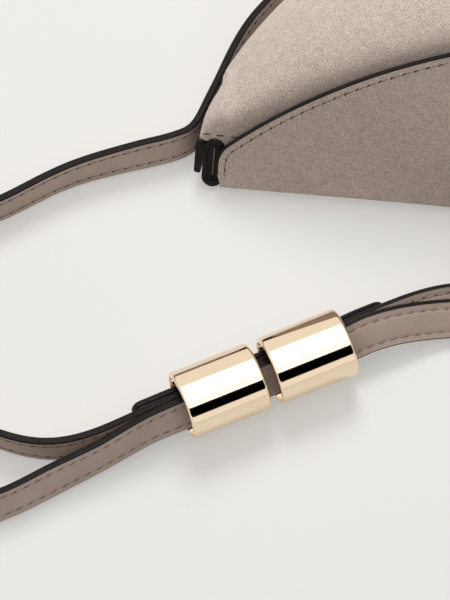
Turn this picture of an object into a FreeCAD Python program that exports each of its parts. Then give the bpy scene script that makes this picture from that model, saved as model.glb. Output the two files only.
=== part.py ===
"""Half moon shoulder bag, laid on its back on a flat surface.

Millimetres, +Z up. The straight side of the bag, with the mouth and the flap, lies along X
at y = 0; the round bottom of the half moon points to +Y. The origin is on the surface, below
the middle of the straight side. A flat strap on edge makes a loop at each corner of the bag,
and both strands of it run through two metal barrels in front of the bag.
"""
import FreeCAD
import Part
import math
import os
from FreeCAD import Vector

# ---- driving dimensions: the bag --------------------------------------------------------
BAG_HALF_LENGTH = 133.6      # half the length of the body along its straight side
OUTLINE_REACH = 6.4          # the half moon outline ends so far outside the body
OUTLINE_HALF_LENGTH = BAG_HALF_LENGTH + OUTLINE_REACH
OUTLINE_DEPTH = 105.0        # from the outline's baseline to the bottom of the half moon
OUTLINE_BASE_Y = 8.0         # where that baseline lies
OUTLINE_POWER = 1.8          # 2 is an ellipse, less is more pointed at the ends
PUFF_RISE = 8.0              # how far the front panel swells above the flap's edge
PANEL_THICK = 2.0            # suede and its backing
LINING_THICK = 0.9
LINING_GAP = 0.3
SEAM_HEIGHT = 5.0            # the seam between front and back panel, above the surface
REST_Y = 55.0                # the middle of the resting face, from the straight side
STATIONS = (0.0, 0.2, 0.4, 0.58, 0.74, 0.86, 0.94, 1.0)

# ---- the flap and the mouth -------------------------------------------------------------
HINGE_Y = 3.6                # fold line of the flap
HINGE_Z = 4.0
HINGE_ROLL_R = 3.0           # the rolled fold along the back panel's edge
FLAP_LEAN_DEG = 30.0         # the closed flap leans back over the front panel
FLAP_HALF_LENGTH = BAG_HALF_LENGTH + 0.4
FLAP_HEIGHT = 71.1           # from the fold to the top of the arch
FLAP_ARCH_R = 184.0
FLAP_CORNER_R = 6.0
FLAP_SUEDE_THICK = 1.6
FLAP_LINING_THICK = 1.2
FLAP_CLEAR = 0.5             # between the flap's lining and the front panel
ROLL_CLEAR = 0.3
MOUTH_HALF_LENGTH = BAG_HALF_LENGTH - 5.6
MOUTH_HEIGHT = 48.0          # from the fold to the middle of the front panel's rim
MOUTH_END_HEIGHT = 8.0
MAGNET_R = 7.0
MAGNET_CLEAR = 0.15
MAGNET_HEIGHT = 59.5         # along the flap, from the fold
MAGNET_PROUD = 0.2

# ---- corner gussets and tabs ------------------------------------------------------------
GUSSET_X0 = BAG_HALF_LENGTH + 0.3
GUSSET_WIDE = 6.4
GUSSET_TALL = 16.6
GUSSET_DEEP = 19.0
GUSSET_END_WIDE = 2.9
GUSSET_WALL = 1.3
GUSSET_Z = 1.6
TAB_THICK = 2.1
TAB_TALL = 12.2
TAB_Z = 5.5
TAB_LINE = [(8.1, 2.0), (7.3, 10.0), (4.7, 18.5), (2.6, 27.5)]  # past the body, and y

# ---- inner pocket -----------------------------------------------------------------------
POCKET_LONG = 120.0
POCKET_DEEP = 54.0
POCKET_THICK = 1.2
POCKET_Y0 = 22.0

# ---- strap ------------------------------------------------------------------------------
STRAP_WIDE = 12.0
STRAP_THICK = 2.6
STRAP_GAP = 0.15             # between two layers that run side by side
RUN_MID = (-113.0, -58.5)    # middle of the straight run through the barrels
RUN_DEG = 31.0               # direction of that run
RUN_HALF = 42.0
RUN_HEIGHT = 8.8             # the strands sink a little below the middle of the barrels
RUN_LEAN_DEG = (12.0, 47.0)  # the strands lean back from upright, more and more to the right
SECTION_STEP = 12.0          # distance between sections along a loop
SPAN_SECTIONS = 5            # one face for so many of them

# x, y, height of the mid line, and lean in degrees (away from the front, if positive)
INNER_LEFT = [(-152.8, -81.5, 7.9, 12), (-158.9, -84.3, 6.9, 9), (-166.0, -87.2, 6.4, 6),
              (-175.5, -89.2, 6.2, 2), (-187.5, -88.4, 6.1, 0), (-205.5, -82.0, 6.1, 0),
              (-220.5, -68.0, 6.1, 0), (-225.5, -49.5, 6.1, 0), (-219.5, -32.5, 6.1, 0),
              (-207.0, -21.3, 6.1, 0), (-196.5, -14.6, 6.1, -1), (-182.8, -4.3, 6.1, -2),
              (-174.7, 0.5, 6.1, -5), (-166.5, 4.0, 6.2, -9), (-157.9, 7.2, 6.4, -14)]
CORNER_LEFT = [(-148.3, 11.4, 6.8, 16), (-144.2, 14.6, 6.9, 14), (-141.8, 18.6, 6.8, 12)]
OUTER_LEFT = [(-140.0, 24.5, 6.5, 12), (-137.9, 31.0, 6.3, 12), (-134.4, 43.6, 6.2, 12),
              (-129.8, 54.7, 6.2, 12), (-121.5, 67.5, 6.2, 8), (-116.5, 80.5, 6.1, 4),
              (-118.0, 94.5, 6.1, 0), (-128.0, 107.0, 6.1, 0), (-146.0, 114.5, 6.1, 0),
              (-174.0, 114.0, 6.1, 0), (-205.0, 102.5, 6.1, 0), (-235.0, 78.0, 6.1, 0),
              (-257.0, 45.0, 6.1, 0), (-269.0, 6.0, 6.1, 0), (-271.5, -34.0, 6.1, 0),
              (-264.0, -72.0, 6.1, 2), (-246.5, -103.0, 6.1, 5), (-222.0, -117.5, 6.1, 9),
              (-199.0, -116.0, 6.2, 13), (-181.8, -106.9, 6.2, 16), (-169.0, -97.5, 6.2, 22),
              (-158.9, -90.3, 6.4, 22), (-153.0, -86.2, 7.3, 18)]
INNER_ACROSS = [(-68.4, -28.9, 6.3, 47), (-61.4, -26.2, 5.6, 46), (-40.0, -21.4, 5.4, 44),
                (0.0, -22.0, 5.7, 38), (60.0, -40.0, 6.1, 28), (120.0, -62.5, 6.2, 24),
                (160.0, -79.5, 6.2, 22)]
OUTER_ACROSS = [(-68.6, -34.4, 7.3, 47), (-61.9, -32.0, 5.5, 46), (-40.0, -28.8, 5.4, 44),
                (0.0, -33.0, 5.7, 38), (60.0, -54.0, 6.1, 28), (120.0, -79.5, 6.2, 24),
                (160.0, -97.5, 6.2, 22)]

# ---- barrels and keeper -----------------------------------------------------------------
BARREL_R = 10.1
BARREL_WALL = 1.3
BARREL_LONG = 24.4
BARREL_GAP = 3.4
BARREL_RIM_R = 1.0
KEEPER_THICK = 2.0
KEEPER_WIDE = 11.0
KEEPER_HALF = 39.0
KEEPER_CORNER_R = 3.0

LEAN = math.radians(FLAP_LEAN_DEG)
SLOPE_UP = Vector(0, math.sin(LEAN), math.cos(LEAN))      # up along the closed flap
SLOPE_OUT = Vector(0, -math.cos(LEAN), math.sin(LEAN))    # out of the bag, square to it
FOLD = Vector(0, HINGE_Y, HINGE_Z)
RUN_DIR = Vector(math.cos(math.radians(RUN_DEG)), math.sin(math.radians(RUN_DEG)), 0)
RUN_CENTRE = Vector(RUN_MID[0], RUN_MID[1], RUN_HEIGHT)


def outline_y(x):
    """Where the half moon outline lies at a given x."""
    share = min(abs(x) / OUTLINE_HALF_LENGTH, 1.0)
    rise = (1.0 - share ** OUTLINE_POWER) ** (1.0 / OUTLINE_POWER)
    return OUTLINE_BASE_Y + OUTLINE_DEPTH * rise


def flap_height(x):
    """Height of the flap's arch along its slope at a given x."""
    return FLAP_HEIGHT - FLAP_ARCH_R + math.sqrt(FLAP_ARCH_R ** 2 - x * x)


def mouth_height(x):
    """Height of the front panel's rim along the slope at a given x."""
    rise = MOUTH_HEIGHT - MOUTH_END_HEIGHT
    radius = (MOUTH_HALF_LENGTH ** 2 + rise ** 2) / (2 * rise)
    return MOUTH_HEIGHT - radius + math.sqrt(radius ** 2 - x * x)


def on_slope(x, height, out):
    """A point given along the flap's slope and square to it."""
    return FOLD + SLOPE_UP * height + SLOPE_OUT * out + Vector(x, 0, 0)


def mirror_x(shape):
    """The same piece on the other side of the bag."""
    return shape.mirror(Vector(0, 0, 0), Vector(1, 0, 0))


# ---- body -------------------------------------------------------------------------------
def body_stations():
    """Where along X the body's sections lie, from end to end."""
    half = [BAG_HALF_LENGTH * share for share in STATIONS]
    return [-x for x in reversed(half[1:])] + half


def front_curve(x, depth):
    """The front panel's section at x, sunk by depth: its flat top part and its swell."""
    rim = on_slope(x, mouth_height(x), -FLAP_CLEAR + MAGNET_PROUD - depth)
    high = flap_height(x)
    bend = on_slope(x, high + 1.0, -FLAP_CLEAR + MAGNET_PROUD - depth)
    top = HINGE_Z + high * math.cos(LEAN) + PUFF_RISE - depth
    edge = outline_y(x) - depth
    wide = edge - bend.y
    low = SEAM_HEIGHT
    poles = [bend,
             bend + SLOPE_UP * (0.5 * PUFF_RISE),
             Vector(x, bend.y + 0.16 * wide, top),
             Vector(x, bend.y + 0.48 * wide, top + 0.06 * (top - low)),
             Vector(x, bend.y + 0.84 * wide, top - 0.06 * (top - low)),
             Vector(x, edge, low + 0.62 * (top - low)),
             Vector(x, edge + 0.6, low + 0.25 * (top - low)),
             Vector(x, edge - 1.2, low)]
    swell = Part.BSplineCurve()
    swell.buildFromPoles(poles, False, 3)
    return rim, bend, swell, poles[-1]


def front_section(x, outer, inner):
    """A closed section of one layer of the front, between two depths."""
    rim_a, bend_a, swell_a, low_a = front_curve(x, outer)
    rim_b, bend_b, swell_b, low_b = front_curve(x, inner)
    return Part.Wire([Part.makeLine(rim_a, bend_a), swell_a.toShape(),
                      Part.makeLine(low_a, low_b), swell_b.toShape(),
                      Part.makeLine(bend_b, rim_b), Part.makeLine(rim_b, rim_a)])


def front_layer(outer, inner):
    """One layer of the front, lofted from end to end of the bag."""
    sections = [front_section(x, outer, inner) for x in body_stations()]
    return Part.makeLoft(sections, True, False)


def magnet_disc(radius, out_low, out_high):
    """A disc square to the flap, at the magnet's place."""
    base = on_slope(0, MAGNET_HEIGHT, out_low)
    return Part.makeCylinder(radius, out_high - out_low, base, SLOPE_OUT)


def front_panel():
    """The swelling suede front of the half moon, with the hole for its magnet."""
    skin = front_layer(0.0, PANEL_THICK)
    hole = magnet_disc(MAGNET_R + MAGNET_CLEAR, -PANEL_THICK - 3.0, 3.0)
    return skin.cut(hole)


def front_lining():
    """The lining behind the front panel."""
    start = PANEL_THICK + LINING_GAP
    return front_layer(start, start + LINING_THICK)


def back_section(x, lift, thick, inset):
    """A section of the back: flat on the surface, turned up at the fold and at the seam."""
    start = HINGE_Y + inset
    edge = outline_y(x) - 2.0 - inset
    turn = min(14.0, 0.3 * (edge - start))
    rise = SEAM_HEIGHT - PANEL_THICK - 0.6
    lower = [Vector(x, start, lift + 1.2), Vector(x, start + 0.5 * turn, lift),
             Vector(x, start + turn, lift), Vector(x, edge - turn, lift),
             Vector(x, edge - 0.5 * turn, lift), Vector(x, edge, lift + rise)]
    upper = [point + Vector(0, 0, thick) for point in lower]
    curves = []
    for poles in (lower, upper):
        curve = Part.BSplineCurve()
        curve.buildFromPoles(poles, False, 3)
        curves.append(curve.toShape())
    return Part.Wire([curves[0], Part.makeLine(lower[-1], upper[-1]), curves[1],
                      Part.makeLine(upper[0], lower[0])])


def back_panel():
    """The suede back, flat underneath, with the rolled fold that carries the flap."""
    sunk = 0.5
    sections = [back_section(x, -sunk, PANEL_THICK + sunk, 0.0) for x in body_stations()]
    sheet = Part.makeLoft(sections, True, False)
    long, deep = 4 * BAG_HALF_LENGTH, 4 * OUTLINE_DEPTH
    below = Part.makeBox(long, deep, deep, Vector(-long / 2, -deep / 2, -deep))
    half = BAG_HALF_LENGTH - ROLL_CLEAR
    roll = Part.makeCylinder(HINGE_ROLL_R, 2 * half, FOLD - Vector(half, 0, 0), Vector(1, 0, 0))
    return sheet.cut(below).fuse(roll).removeSplitter()


def back_lining():
    """The lining on the back, inside the bag."""
    inset = HINGE_ROLL_R + 1.6
    lift = PANEL_THICK + LINING_GAP
    sections = [back_section(x, lift, LINING_THICK, inset) for x in body_stations()]
    return Part.makeLoft(sections, True, False)


def inner_pocket():
    """A flat slip pocket, sewn to the back lining on three sides and open to the mouth."""
    floor = PANEL_THICK + LINING_GAP + LINING_THICK + 0.1
    slot = 0.4
    body = Part.makeBox(POCKET_LONG, POCKET_DEEP, POCKET_THICK + slot,
                        Vector(-POCKET_LONG / 2, POCKET_Y0, floor))
    hem = 5.0
    gap = Part.makeBox(POCKET_LONG - 2 * hem, POCKET_DEEP - hem, slot,
                       Vector(-POCKET_LONG / 2 + hem, POCKET_Y0, floor))
    return body.cut(gap)


# ---- flap -------------------------------------------------------------------------------
def flap_outline(inset, out):
    """The flap's half moon outline on its slope: fold line, two rounded corners, arch."""
    half = FLAP_HALF_LENGTH - inset
    low = HINGE_ROLL_R + ROLL_CLEAR
    radius = FLAP_ARCH_R - inset
    top = FLAP_HEIGHT - inset
    side = top - radius + math.sqrt(radius ** 2 - half ** 2)
    shoulder_x = half - FLAP_CORNER_R
    shoulder = top - radius + math.sqrt(radius ** 2 - shoulder_x ** 2)
    left_low = on_slope(-half, low, out)
    left_side = on_slope(-half, side - 1.0, out)
    left_shoulder = on_slope(-shoulder_x, shoulder, out)
    right_shoulder = on_slope(shoulder_x, shoulder, out)
    right_side = on_slope(half, side - 1.0, out)
    right_low = on_slope(half, low, out)
    corner_l = on_slope(-half + 2.2, 0.5 * (side + shoulder) + 1.2, out)
    corner_r = on_slope(half - 2.2, 0.5 * (side + shoulder) + 1.2, out)
    return Part.Wire([Part.makeLine(right_low, left_low),
                      Part.makeLine(left_low, left_side),
                      Part.Arc(left_side, corner_l, left_shoulder).toShape(),
                      Part.Arc(left_shoulder, on_slope(0, top, out), right_shoulder).toShape(),
                      Part.Arc(right_shoulder, corner_r, right_side).toShape(),
                      Part.makeLine(right_side, right_low)])


def flap_layer(inset, out_low, out_high):
    """One flat layer of the flap."""
    face = Part.Face(flap_outline(inset, out_low))
    return face.extrude(SLOPE_OUT * (out_high - out_low))


def flap_inner_out():
    """How far the flap's inner face lies outside the plane of its fold."""
    return HINGE_ROLL_R - FLAP_SUEDE_THICK - FLAP_LINING_THICK


def flap_panel():
    """The outer suede of the flap."""
    low = flap_inner_out() + FLAP_LINING_THICK
    return flap_layer(0.0, low, low + FLAP_SUEDE_THICK)


def flap_lining():
    """The lining of the flap, with the hole for its magnet."""
    low = flap_inner_out()
    sheet = flap_layer(0.0, low, low + FLAP_LINING_THICK)
    return sheet.cut(magnet_disc(MAGNET_R + MAGNET_CLEAR, low - 1, low + 3))


def flap_magnet():
    """The magnet button in the flap's lining."""
    low = flap_inner_out()
    return magnet_disc(MAGNET_R, low - MAGNET_PROUD + 0.05, low + FLAP_LINING_THICK)


def body_magnet():
    """The magnet button in the front panel."""
    face = -FLAP_CLEAR + MAGNET_PROUD
    return magnet_disc(MAGNET_R, face - 1.3, face + 0.05)


def magnet_washer():
    """The steel plate behind the front panel's magnet, inside its thickness."""
    back = -FLAP_CLEAR + MAGNET_PROUD - 1.3
    return magnet_disc(MAGNET_R, back - 0.9, back)


# ---- gussets and tabs -------------------------------------------------------------------
def oval_wire(wide, tall, base):
    """An upright oval across Y; base is its lowest point."""
    r = wide / 2
    low = base + Vector(0, 0, r)
    high = base + Vector(0, 0, tall - r)
    side = Vector(r, 0, 0)
    return Part.Wire([Part.makeLine(low - side, high - side),
                      Part.Arc(high - side, high + Vector(0, 0, r), high + side).toShape(),
                      Part.makeLine(high + side, low + side),
                      Part.Arc(low + side, low - Vector(0, 0, r), low - side).toShape()])


def offset_line(curve, distance):
    """A line beside a level curve, to its right by the distance."""
    points = []
    for step in range(7):
        t = curve.FirstParameter + (curve.LastParameter - curve.FirstParameter) * step / 6
        heading = curve.tangent(t)[0]
        points.append(curve.value(t) + Vector(heading.y, -heading.x, 0) * distance)
    beside = Part.BSplineCurve()
    beside.interpolate(points)
    return beside.toShape()


def mouth_slope_cut():
    """Everything in front of the mouth's slope, to trim ends to it."""
    half = 2 * BAG_HALF_LENGTH
    reach = 4 * GUSSET_TALL
    block = Part.makeBox(2 * half, reach, 2 * reach, Vector(-half, -reach, -reach))
    block.rotate(Vector(0, 0, 0), Vector(1, 0, 0), -FLAP_LEAN_DEG)
    block.translate(FOLD)
    return block


def gusset_right():
    """The folded end of the mouth: an oval roll of leather round a narrow slot."""
    def roll(inset, deep):
        front = GUSSET_X0 + GUSSET_WIDE / 2
        back = GUSSET_X0 + GUSSET_END_WIDE / 2
        tall = GUSSET_TALL - 2 * inset
        wires = [oval_wire(GUSSET_WIDE - 2 * inset, tall, Vector(front, 0, GUSSET_Z + inset)),
                 oval_wire(GUSSET_END_WIDE - 2 * inset, tall,
                           Vector(back, deep, GUSSET_Z + inset))]
        return Part.makeLoft(wires, True, True)
    slot = roll(GUSSET_WALL, GUSSET_DEEP - 2 * GUSSET_WALL)
    return roll(0.0, GUSSET_DEEP).cut(slot).cut(mouth_slope_cut())


def tab_right():
    """The leather tab that carries the strap, sewn to the outside of the gusset."""
    middle = Part.BSplineCurve()
    middle.interpolate([Vector(BAG_HALF_LENGTH + past, y, TAB_Z) for past, y in TAB_LINE])
    inner, outer = [offset_line(middle, side * TAB_THICK / 2) for side in (-1, 1)]
    ends = [Part.makeLine(inner.valueAt(inner.FirstParameter), outer.valueAt(outer.FirstParameter)),
            Part.makeLine(inner.valueAt(inner.LastParameter), outer.valueAt(outer.LastParameter))]
    face = Part.Face(Part.Wire([inner, ends[1], outer, ends[0]]))
    return face.extrude(Vector(0, 0, TAB_TALL)).cut(mouth_slope_cut())


# ---- strap ------------------------------------------------------------------------------
def run_lean(along):
    """The strands' lean at a distance along the straight run."""
    low, high = RUN_LEAN_DEG
    return low + (high - low) * (along + RUN_HALF) / (2 * RUN_HALF)


def run_point(along, layer):
    """A point on a strand's mid line in the straight run; layer is square to its face."""
    lean = math.radians(run_lean(along))
    front = Vector(RUN_DIR.y, -RUN_DIR.x, 0)
    face = front * math.cos(lean) + Vector(0, 0, math.sin(lean))
    return RUN_CENTRE + RUN_DIR * along + face * layer


def layer_offsets():
    """Where the keeper, the inner and the outer strand lie in the stack, back to front."""
    total = KEEPER_THICK + 2 * STRAP_THICK + 2 * STRAP_GAP
    keeper = -total / 2 + KEEPER_THICK / 2
    inner = keeper + KEEPER_THICK / 2 + STRAP_GAP + STRAP_THICK / 2
    outer = inner + STRAP_THICK + STRAP_GAP
    return keeper, inner, outer


def strap_corners(point, heading, lean_deg, wide, thick):
    """The four corners of a flat strap's section, square to its heading."""
    lean = math.radians(lean_deg)
    left = Vector(-heading.y, heading.x, 0)
    up = (Vector(0, 0, 1) * math.cos(lean) + left * math.sin(lean)) * (wide / 2)
    across = (left * math.cos(lean) - Vector(0, 0, 1) * math.sin(lean)) * (thick / 2)
    return [point + up + across, point - up + across, point - up - across,
            point + up - across]


def strap_solid(sections, along):
    """A flat strap through sections of four corners: four ruled sides and two ends."""
    rails = []
    for corner in range(4):
        rail = Part.BSplineCurve()
        rail.interpolate(Points=[section[corner] for section in sections], Parameters=along)
        rails.append(rail)
    forward = 1
    stops = along[:-1:SPAN_SECTIONS] + along[-1:]
    sides = []
    for low, high in zip(stops, stops[1:]):
        edges = [rail.toShape(low, high) for rail in rails]
        sides += [Part.makeRuledSurface(edges[i], edges[(i + 1) % 4], forward) for i in range(4)]
    ends = [Part.Face(Part.makePolygon(section + section[:1]))
            for section in (sections[0], sections[-1])]
    skin = Part.makeShell(sides + ends)
    skin.sewShape()
    solid = Part.makeSolid(skin)
    if solid.Volume < 0:
        solid.reverse()
    return solid


def strap_curve(points, start_dir, end_dir):
    """A smooth line through the points, with its parameter at each of them."""
    places = [Vector(p[0], p[1], p[2]) for p in points]
    curve = Part.BSplineCurve()
    curve.interpolate(Points=places, InitialTangent=start_dir, FinalTangent=end_dir,
                      Scale=False)
    return curve, [curve.parameter(place) for place in places]


def strap_piece(curve, knots, leans, first, last):
    """The strap from one of the curve's points to another: four rails and two ends."""
    low, high = knots[first], knots[last]
    length = curve.length(low, high)
    count = max(3, int(length / SECTION_STEP))
    along = [length * step / count for step in range(count + 1)]
    corners = []
    headings = []
    for distance in along:
        t = min(max(curve.parameterAtDistance(distance, low), low), high)
        place = max(i for i in range(first, last) if i == first or knots[i] <= t)
        share = (t - knots[place]) / (knots[place + 1] - knots[place])
        lean = leans[place] + share * (leans[place + 1] - leans[place])
        heading = curve.tangent(t)[0]
        heading = Vector(heading.x, heading.y, 0).normalize()
        headings.append(heading)
        corners.append(strap_corners(curve.value(t), heading, lean, STRAP_WIDE, STRAP_THICK))
    solid = strap_solid(corners, along)
    print("strap length %.1f mm, volume over section times length %.4f"
          % (length, solid.Volume / (length * STRAP_WIDE * STRAP_THICK)))
    return solid


def run_end(side, layer):
    """An end of the straight run, as a point of a route."""
    point = run_point(side * RUN_HALF, layer)
    return (point.x, point.y, point.z, run_lean(side * RUN_HALF))


def mirrored(points):
    """The same points on the other side of the bag."""
    return [(-x, y, z, lean) for x, y, z, lean in points]


def turned(points):
    """The same points with their lean told from the other way along the strap."""
    return [(x, y, z, -lean) for x, y, z, lean in points]


def left_strap(inner, outer):
    """The left loops: inner strand, round the corner, outer strand."""
    there = turned([run_end(-1, inner)] + INNER_LEFT)
    points = there + CORNER_LEFT + OUTER_LEFT + [run_end(-1, outer)]
    curve, knots = strap_curve(points, -RUN_DIR, RUN_DIR)
    leans = [p[3] for p in points]
    corner = len(there) + len(CORNER_LEFT) - 2
    return {"strap_left_inner": strap_piece(curve, knots, leans, 0, corner),
            "strap_left_outer": strap_piece(curve, knots, leans, corner, len(points) - 1)}


def right_strap(inner, outer):
    """The right loops, which the strands reach across the front of the bag."""
    loop_in = mirrored(INNER_LEFT[3:] + turned(CORNER_LEFT))
    loop_out = mirrored(turned(OUTER_LEFT[:-3]))
    across = turned([run_end(1, outer)] + OUTER_ACROSS)[::-1]
    points = [run_end(1, inner)] + INNER_ACROSS + loop_in + loop_out + across
    curve, knots = strap_curve(points, RUN_DIR, -RUN_DIR)
    leans = [p[3] for p in points]
    stops = {"strap_inner_across": len(INNER_ACROSS),
             "strap_right_inner": len(INNER_ACROSS) + len(loop_in) - 1,
             "strap_right_outer": len(points) - len(across),
             "strap_outer_across": len(points) - 1}
    pieces = {}
    start = 0
    for name, stop in stops.items():
        pieces[name] = strap_piece(curve, knots, leans, start, stop)
        start = stop
    return pieces


def run_strand(layer, half, wide, thick):
    """A strand's straight stretch, twisting a little on its way through both barrels."""
    along = [half * (step / 4 - 1) for step in range(9)]
    sections = [strap_corners(run_point(s, layer), RUN_DIR, run_lean(s), wide, thick)
                for s in along]
    return strap_solid(sections, along)


def keeper_strip(layer):
    """The short strip behind the strands, with rounded corners, through both barrels."""
    strip = run_strand(layer, KEEPER_HALF, KEEPER_WIDE, KEEPER_THICK)
    corners = [edge for edge in strip.Edges if abs(edge.Length - KEEPER_THICK) < 0.01]
    return strip.makeFillet(KEEPER_CORNER_R, corners)


def barrel(side):
    """One metal barrel: a short tube with rounded rims; side is -1 or 1 along the run."""
    middle = side * (BARREL_LONG + BARREL_GAP) / 2
    centre = Vector(RUN_MID[0], RUN_MID[1], BARREL_R)
    base = centre + RUN_DIR * (middle - BARREL_LONG / 2)
    inner_r = BARREL_R - BARREL_WALL
    tube = Part.makeCylinder(BARREL_R, BARREL_LONG, base, RUN_DIR)
    tube = tube.cut(Part.makeCylinder(inner_r, BARREL_LONG, base, RUN_DIR))
    rims = [edge for edge in tube.Edges
            if edge.Closed and abs(edge.Curve.Radius - BARREL_R) < 0.01]
    return tube.makeFillet(BARREL_RIM_R, rims)


def build():
    """Every piece of the bag, by name."""
    pieces = {"front_panel": front_panel(), "front_lining": front_lining(),
              "back_panel": back_panel(), "back_lining": back_lining(),
              "inner_pocket": inner_pocket(),
              "flap_panel": flap_panel(), "flap_lining": flap_lining(),
              "flap_magnet": flap_magnet(), "body_magnet": body_magnet(),
              "magnet_washer": magnet_washer(),
              "gusset_right": gusset_right(), "strap_tab_right": tab_right()}
    for name in ("gusset", "strap_tab"):
        pieces[name + "_left"] = mirror_x(pieces[name + "_right"])
    keeper_layer, inner_layer, outer_layer = layer_offsets()
    pieces["keeper_strip"] = keeper_strip(keeper_layer)
    for name, layer in (("strap_inner_run", inner_layer), ("strap_outer_run", outer_layer)):
        pieces[name] = run_strand(layer, RUN_HALF, STRAP_WIDE, STRAP_THICK)
    pieces.update(left_strap(inner_layer, outer_layer))
    pieces.update(right_strap(inner_layer, outer_layer))
    pieces["barrel_left"] = barrel(-1)
    pieces["barrel_right"] = barrel(1)
    return pieces


def main():
    """Write one file for each piece, with the origin below the middle of the bag."""
    os.makedirs("parts", exist_ok=True)
    for name, shape in build().items():
        shape.translate(Vector(0, -REST_Y, 0))
        box = shape.optimalBoundingBox(False)
        print("%-20s valid %s solids %d  x %.1f..%.1f  y %.1f..%.1f  z %.2f..%.2f"
              % (name, shape.isValid(), len(shape.Solids), box.XMin, box.XMax,
                 box.YMin, box.YMax, box.ZMin, box.ZMax))
        shape.exportStep("parts/%s.step" % name)


main()
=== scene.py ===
# %% [markdown]
# # A half moon shoulder bag, laid on its back
# The bag is a flat half moon of suede with an arched flap along its straight side. A flat
# leather strap on edge makes a loop at each corner, and both strands of it run through two
# polished barrels in front of the bag. This lesson dresses the CAD frame piece by piece. All
# sizes are written in millimetres from the middle of the straight side, as a maker would
# measure them, and are turned into the frame's metres in one place.

# %% The frame
import bpy
import math
import numpy as np
from mathutils import Matrix, Vector, noise


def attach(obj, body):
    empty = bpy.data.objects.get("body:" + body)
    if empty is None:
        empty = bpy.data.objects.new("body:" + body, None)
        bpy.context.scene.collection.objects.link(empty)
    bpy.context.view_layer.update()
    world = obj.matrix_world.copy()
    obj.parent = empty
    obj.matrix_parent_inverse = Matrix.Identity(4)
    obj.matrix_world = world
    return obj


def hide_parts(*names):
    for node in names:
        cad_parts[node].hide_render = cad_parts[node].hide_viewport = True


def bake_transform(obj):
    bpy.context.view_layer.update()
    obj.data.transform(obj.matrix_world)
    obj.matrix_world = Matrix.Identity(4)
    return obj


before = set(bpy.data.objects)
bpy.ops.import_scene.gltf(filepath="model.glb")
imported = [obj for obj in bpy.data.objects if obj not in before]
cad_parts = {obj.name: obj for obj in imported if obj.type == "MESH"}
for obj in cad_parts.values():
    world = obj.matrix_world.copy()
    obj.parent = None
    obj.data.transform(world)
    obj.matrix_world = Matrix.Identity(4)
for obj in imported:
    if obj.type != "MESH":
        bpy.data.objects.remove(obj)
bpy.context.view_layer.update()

REST_Y = 55.0          # the frame's origin lies this far behind the straight side


def to_frame(points):
    """Millimetres from the middle of the straight side, as metres in the frame."""
    return (np.asarray(points, float) - (0, REST_Y, 0)) / 1000


# %% [markdown]
# ## The camera
# The photograph looks down steeply at the left corner of the bag with a long lens, so lines
# hardly converge. A long lens is made with a long focal length and a camera that stands
# back. The three axes of the camera are written out, because a look that is given by an
# elevation and a turn is easier to check than three Euler angles.

# %% Camera
LOOK_DOWN = math.radians(68.0)
LOOK_TURN = math.radians(8.0)
CAMERA_PLACE = (-0.0680, -0.5146, 1.0663)
FOCAL_PIXELS = 3875.5
IMAGE_HIGH = 600
SENSOR_HIGH = 36.0

right = Vector((math.cos(LOOK_TURN), math.sin(LOOK_TURN), 0))
ahead = Vector((-math.sin(LOOK_TURN), math.cos(LOOK_TURN), 0))
above = ahead * math.sin(LOOK_DOWN) + Vector((0, 0, math.cos(LOOK_DOWN)))
backward = Vector((0, 0, math.sin(LOOK_DOWN))) - ahead * math.cos(LOOK_DOWN)
turn = Matrix((right, above, backward)).transposed()

camera_data = bpy.data.cameras.new("photo_camera")
camera_data.sensor_fit = "VERTICAL"
camera_data.sensor_height = SENSOR_HIGH
camera_data.lens = SENSOR_HIGH * FOCAL_PIXELS / IMAGE_HIGH
camera = bpy.data.objects.new("photo_camera", camera_data)
camera.matrix_world = Matrix.Translation(CAMERA_PLACE) @ turn.to_4x4()
bpy.context.collection.objects.link(camera)
bpy.context.scene.camera = camera
bpy.context.scene.view_settings.view_transform = "Standard"
print("lens %.1f mm" % camera_data.lens)

# %% [markdown]
# ## Suede
# Suede is the napped side of leather: short fibres that scatter light, so it has no gloss, a
# soft pale bloom at grazing angles and a mottled tone where the nap lies one way or the
# other. Three noises of different size give the single fibres, the mottling and the slow
# drift of tone. The bloom is the shader's sheen, set on its own socket.


# %% Helpers for the finishes
def shader_of(material):
    """The material's one shader node."""
    return material.node_tree.nodes["Principled BSDF"]


def finish(name, sockets):
    """A new material with its shader's sockets set, and its object coordinates in metres."""
    material = bpy.data.materials.new(name)
    material.use_nodes = True
    for socket, value in sockets.items():
        shader_of(material).inputs[socket].default_value = value
    place = material.node_tree.nodes.new("ShaderNodeTexCoord")
    return material, place.outputs["Object"]


def grain(material, place, scale, detail, stretch=(1, 1, 1)):
    """A noise over the object, stretched if its grain has a direction."""
    nodes, links = material.node_tree.nodes, material.node_tree.links
    mapping = nodes.new("ShaderNodeMapping")
    mapping.inputs["Scale"].default_value = stretch
    pattern = nodes.new("ShaderNodeTexNoise")
    pattern.inputs["Scale"].default_value = scale
    pattern.inputs["Detail"].default_value = detail
    links.new(place, mapping.inputs["Vector"])
    links.new(mapping.outputs["Vector"], pattern.inputs["Vector"])
    return pattern.outputs["Fac"]


def tones(material, factor, low, high, low_at=0.3, high_at=0.7):
    """Two tones blended by a pattern."""
    ramp = material.node_tree.nodes.new("ShaderNodeValToRGB")
    ramp.color_ramp.elements[0].position = low_at
    ramp.color_ramp.elements[0].color = (*low, 1)
    ramp.color_ramp.elements[1].position = high_at
    ramp.color_ramp.elements[1].color = (*high, 1)
    material.node_tree.links.new(factor, ramp.inputs["Fac"])
    return ramp.outputs["Color"]


def multiplied(material, share, first, second):
    """A colour darkened by a second one, by a share."""
    mix = material.node_tree.nodes.new("ShaderNodeMix")
    mix.data_type = "RGBA"
    mix.blend_type = "MULTIPLY"
    mix.inputs["Factor"].default_value = share
    material.node_tree.links.new(first, mix.inputs["A"])
    material.node_tree.links.new(second, mix.inputs["B"])
    return mix.outputs["Result"]


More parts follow.
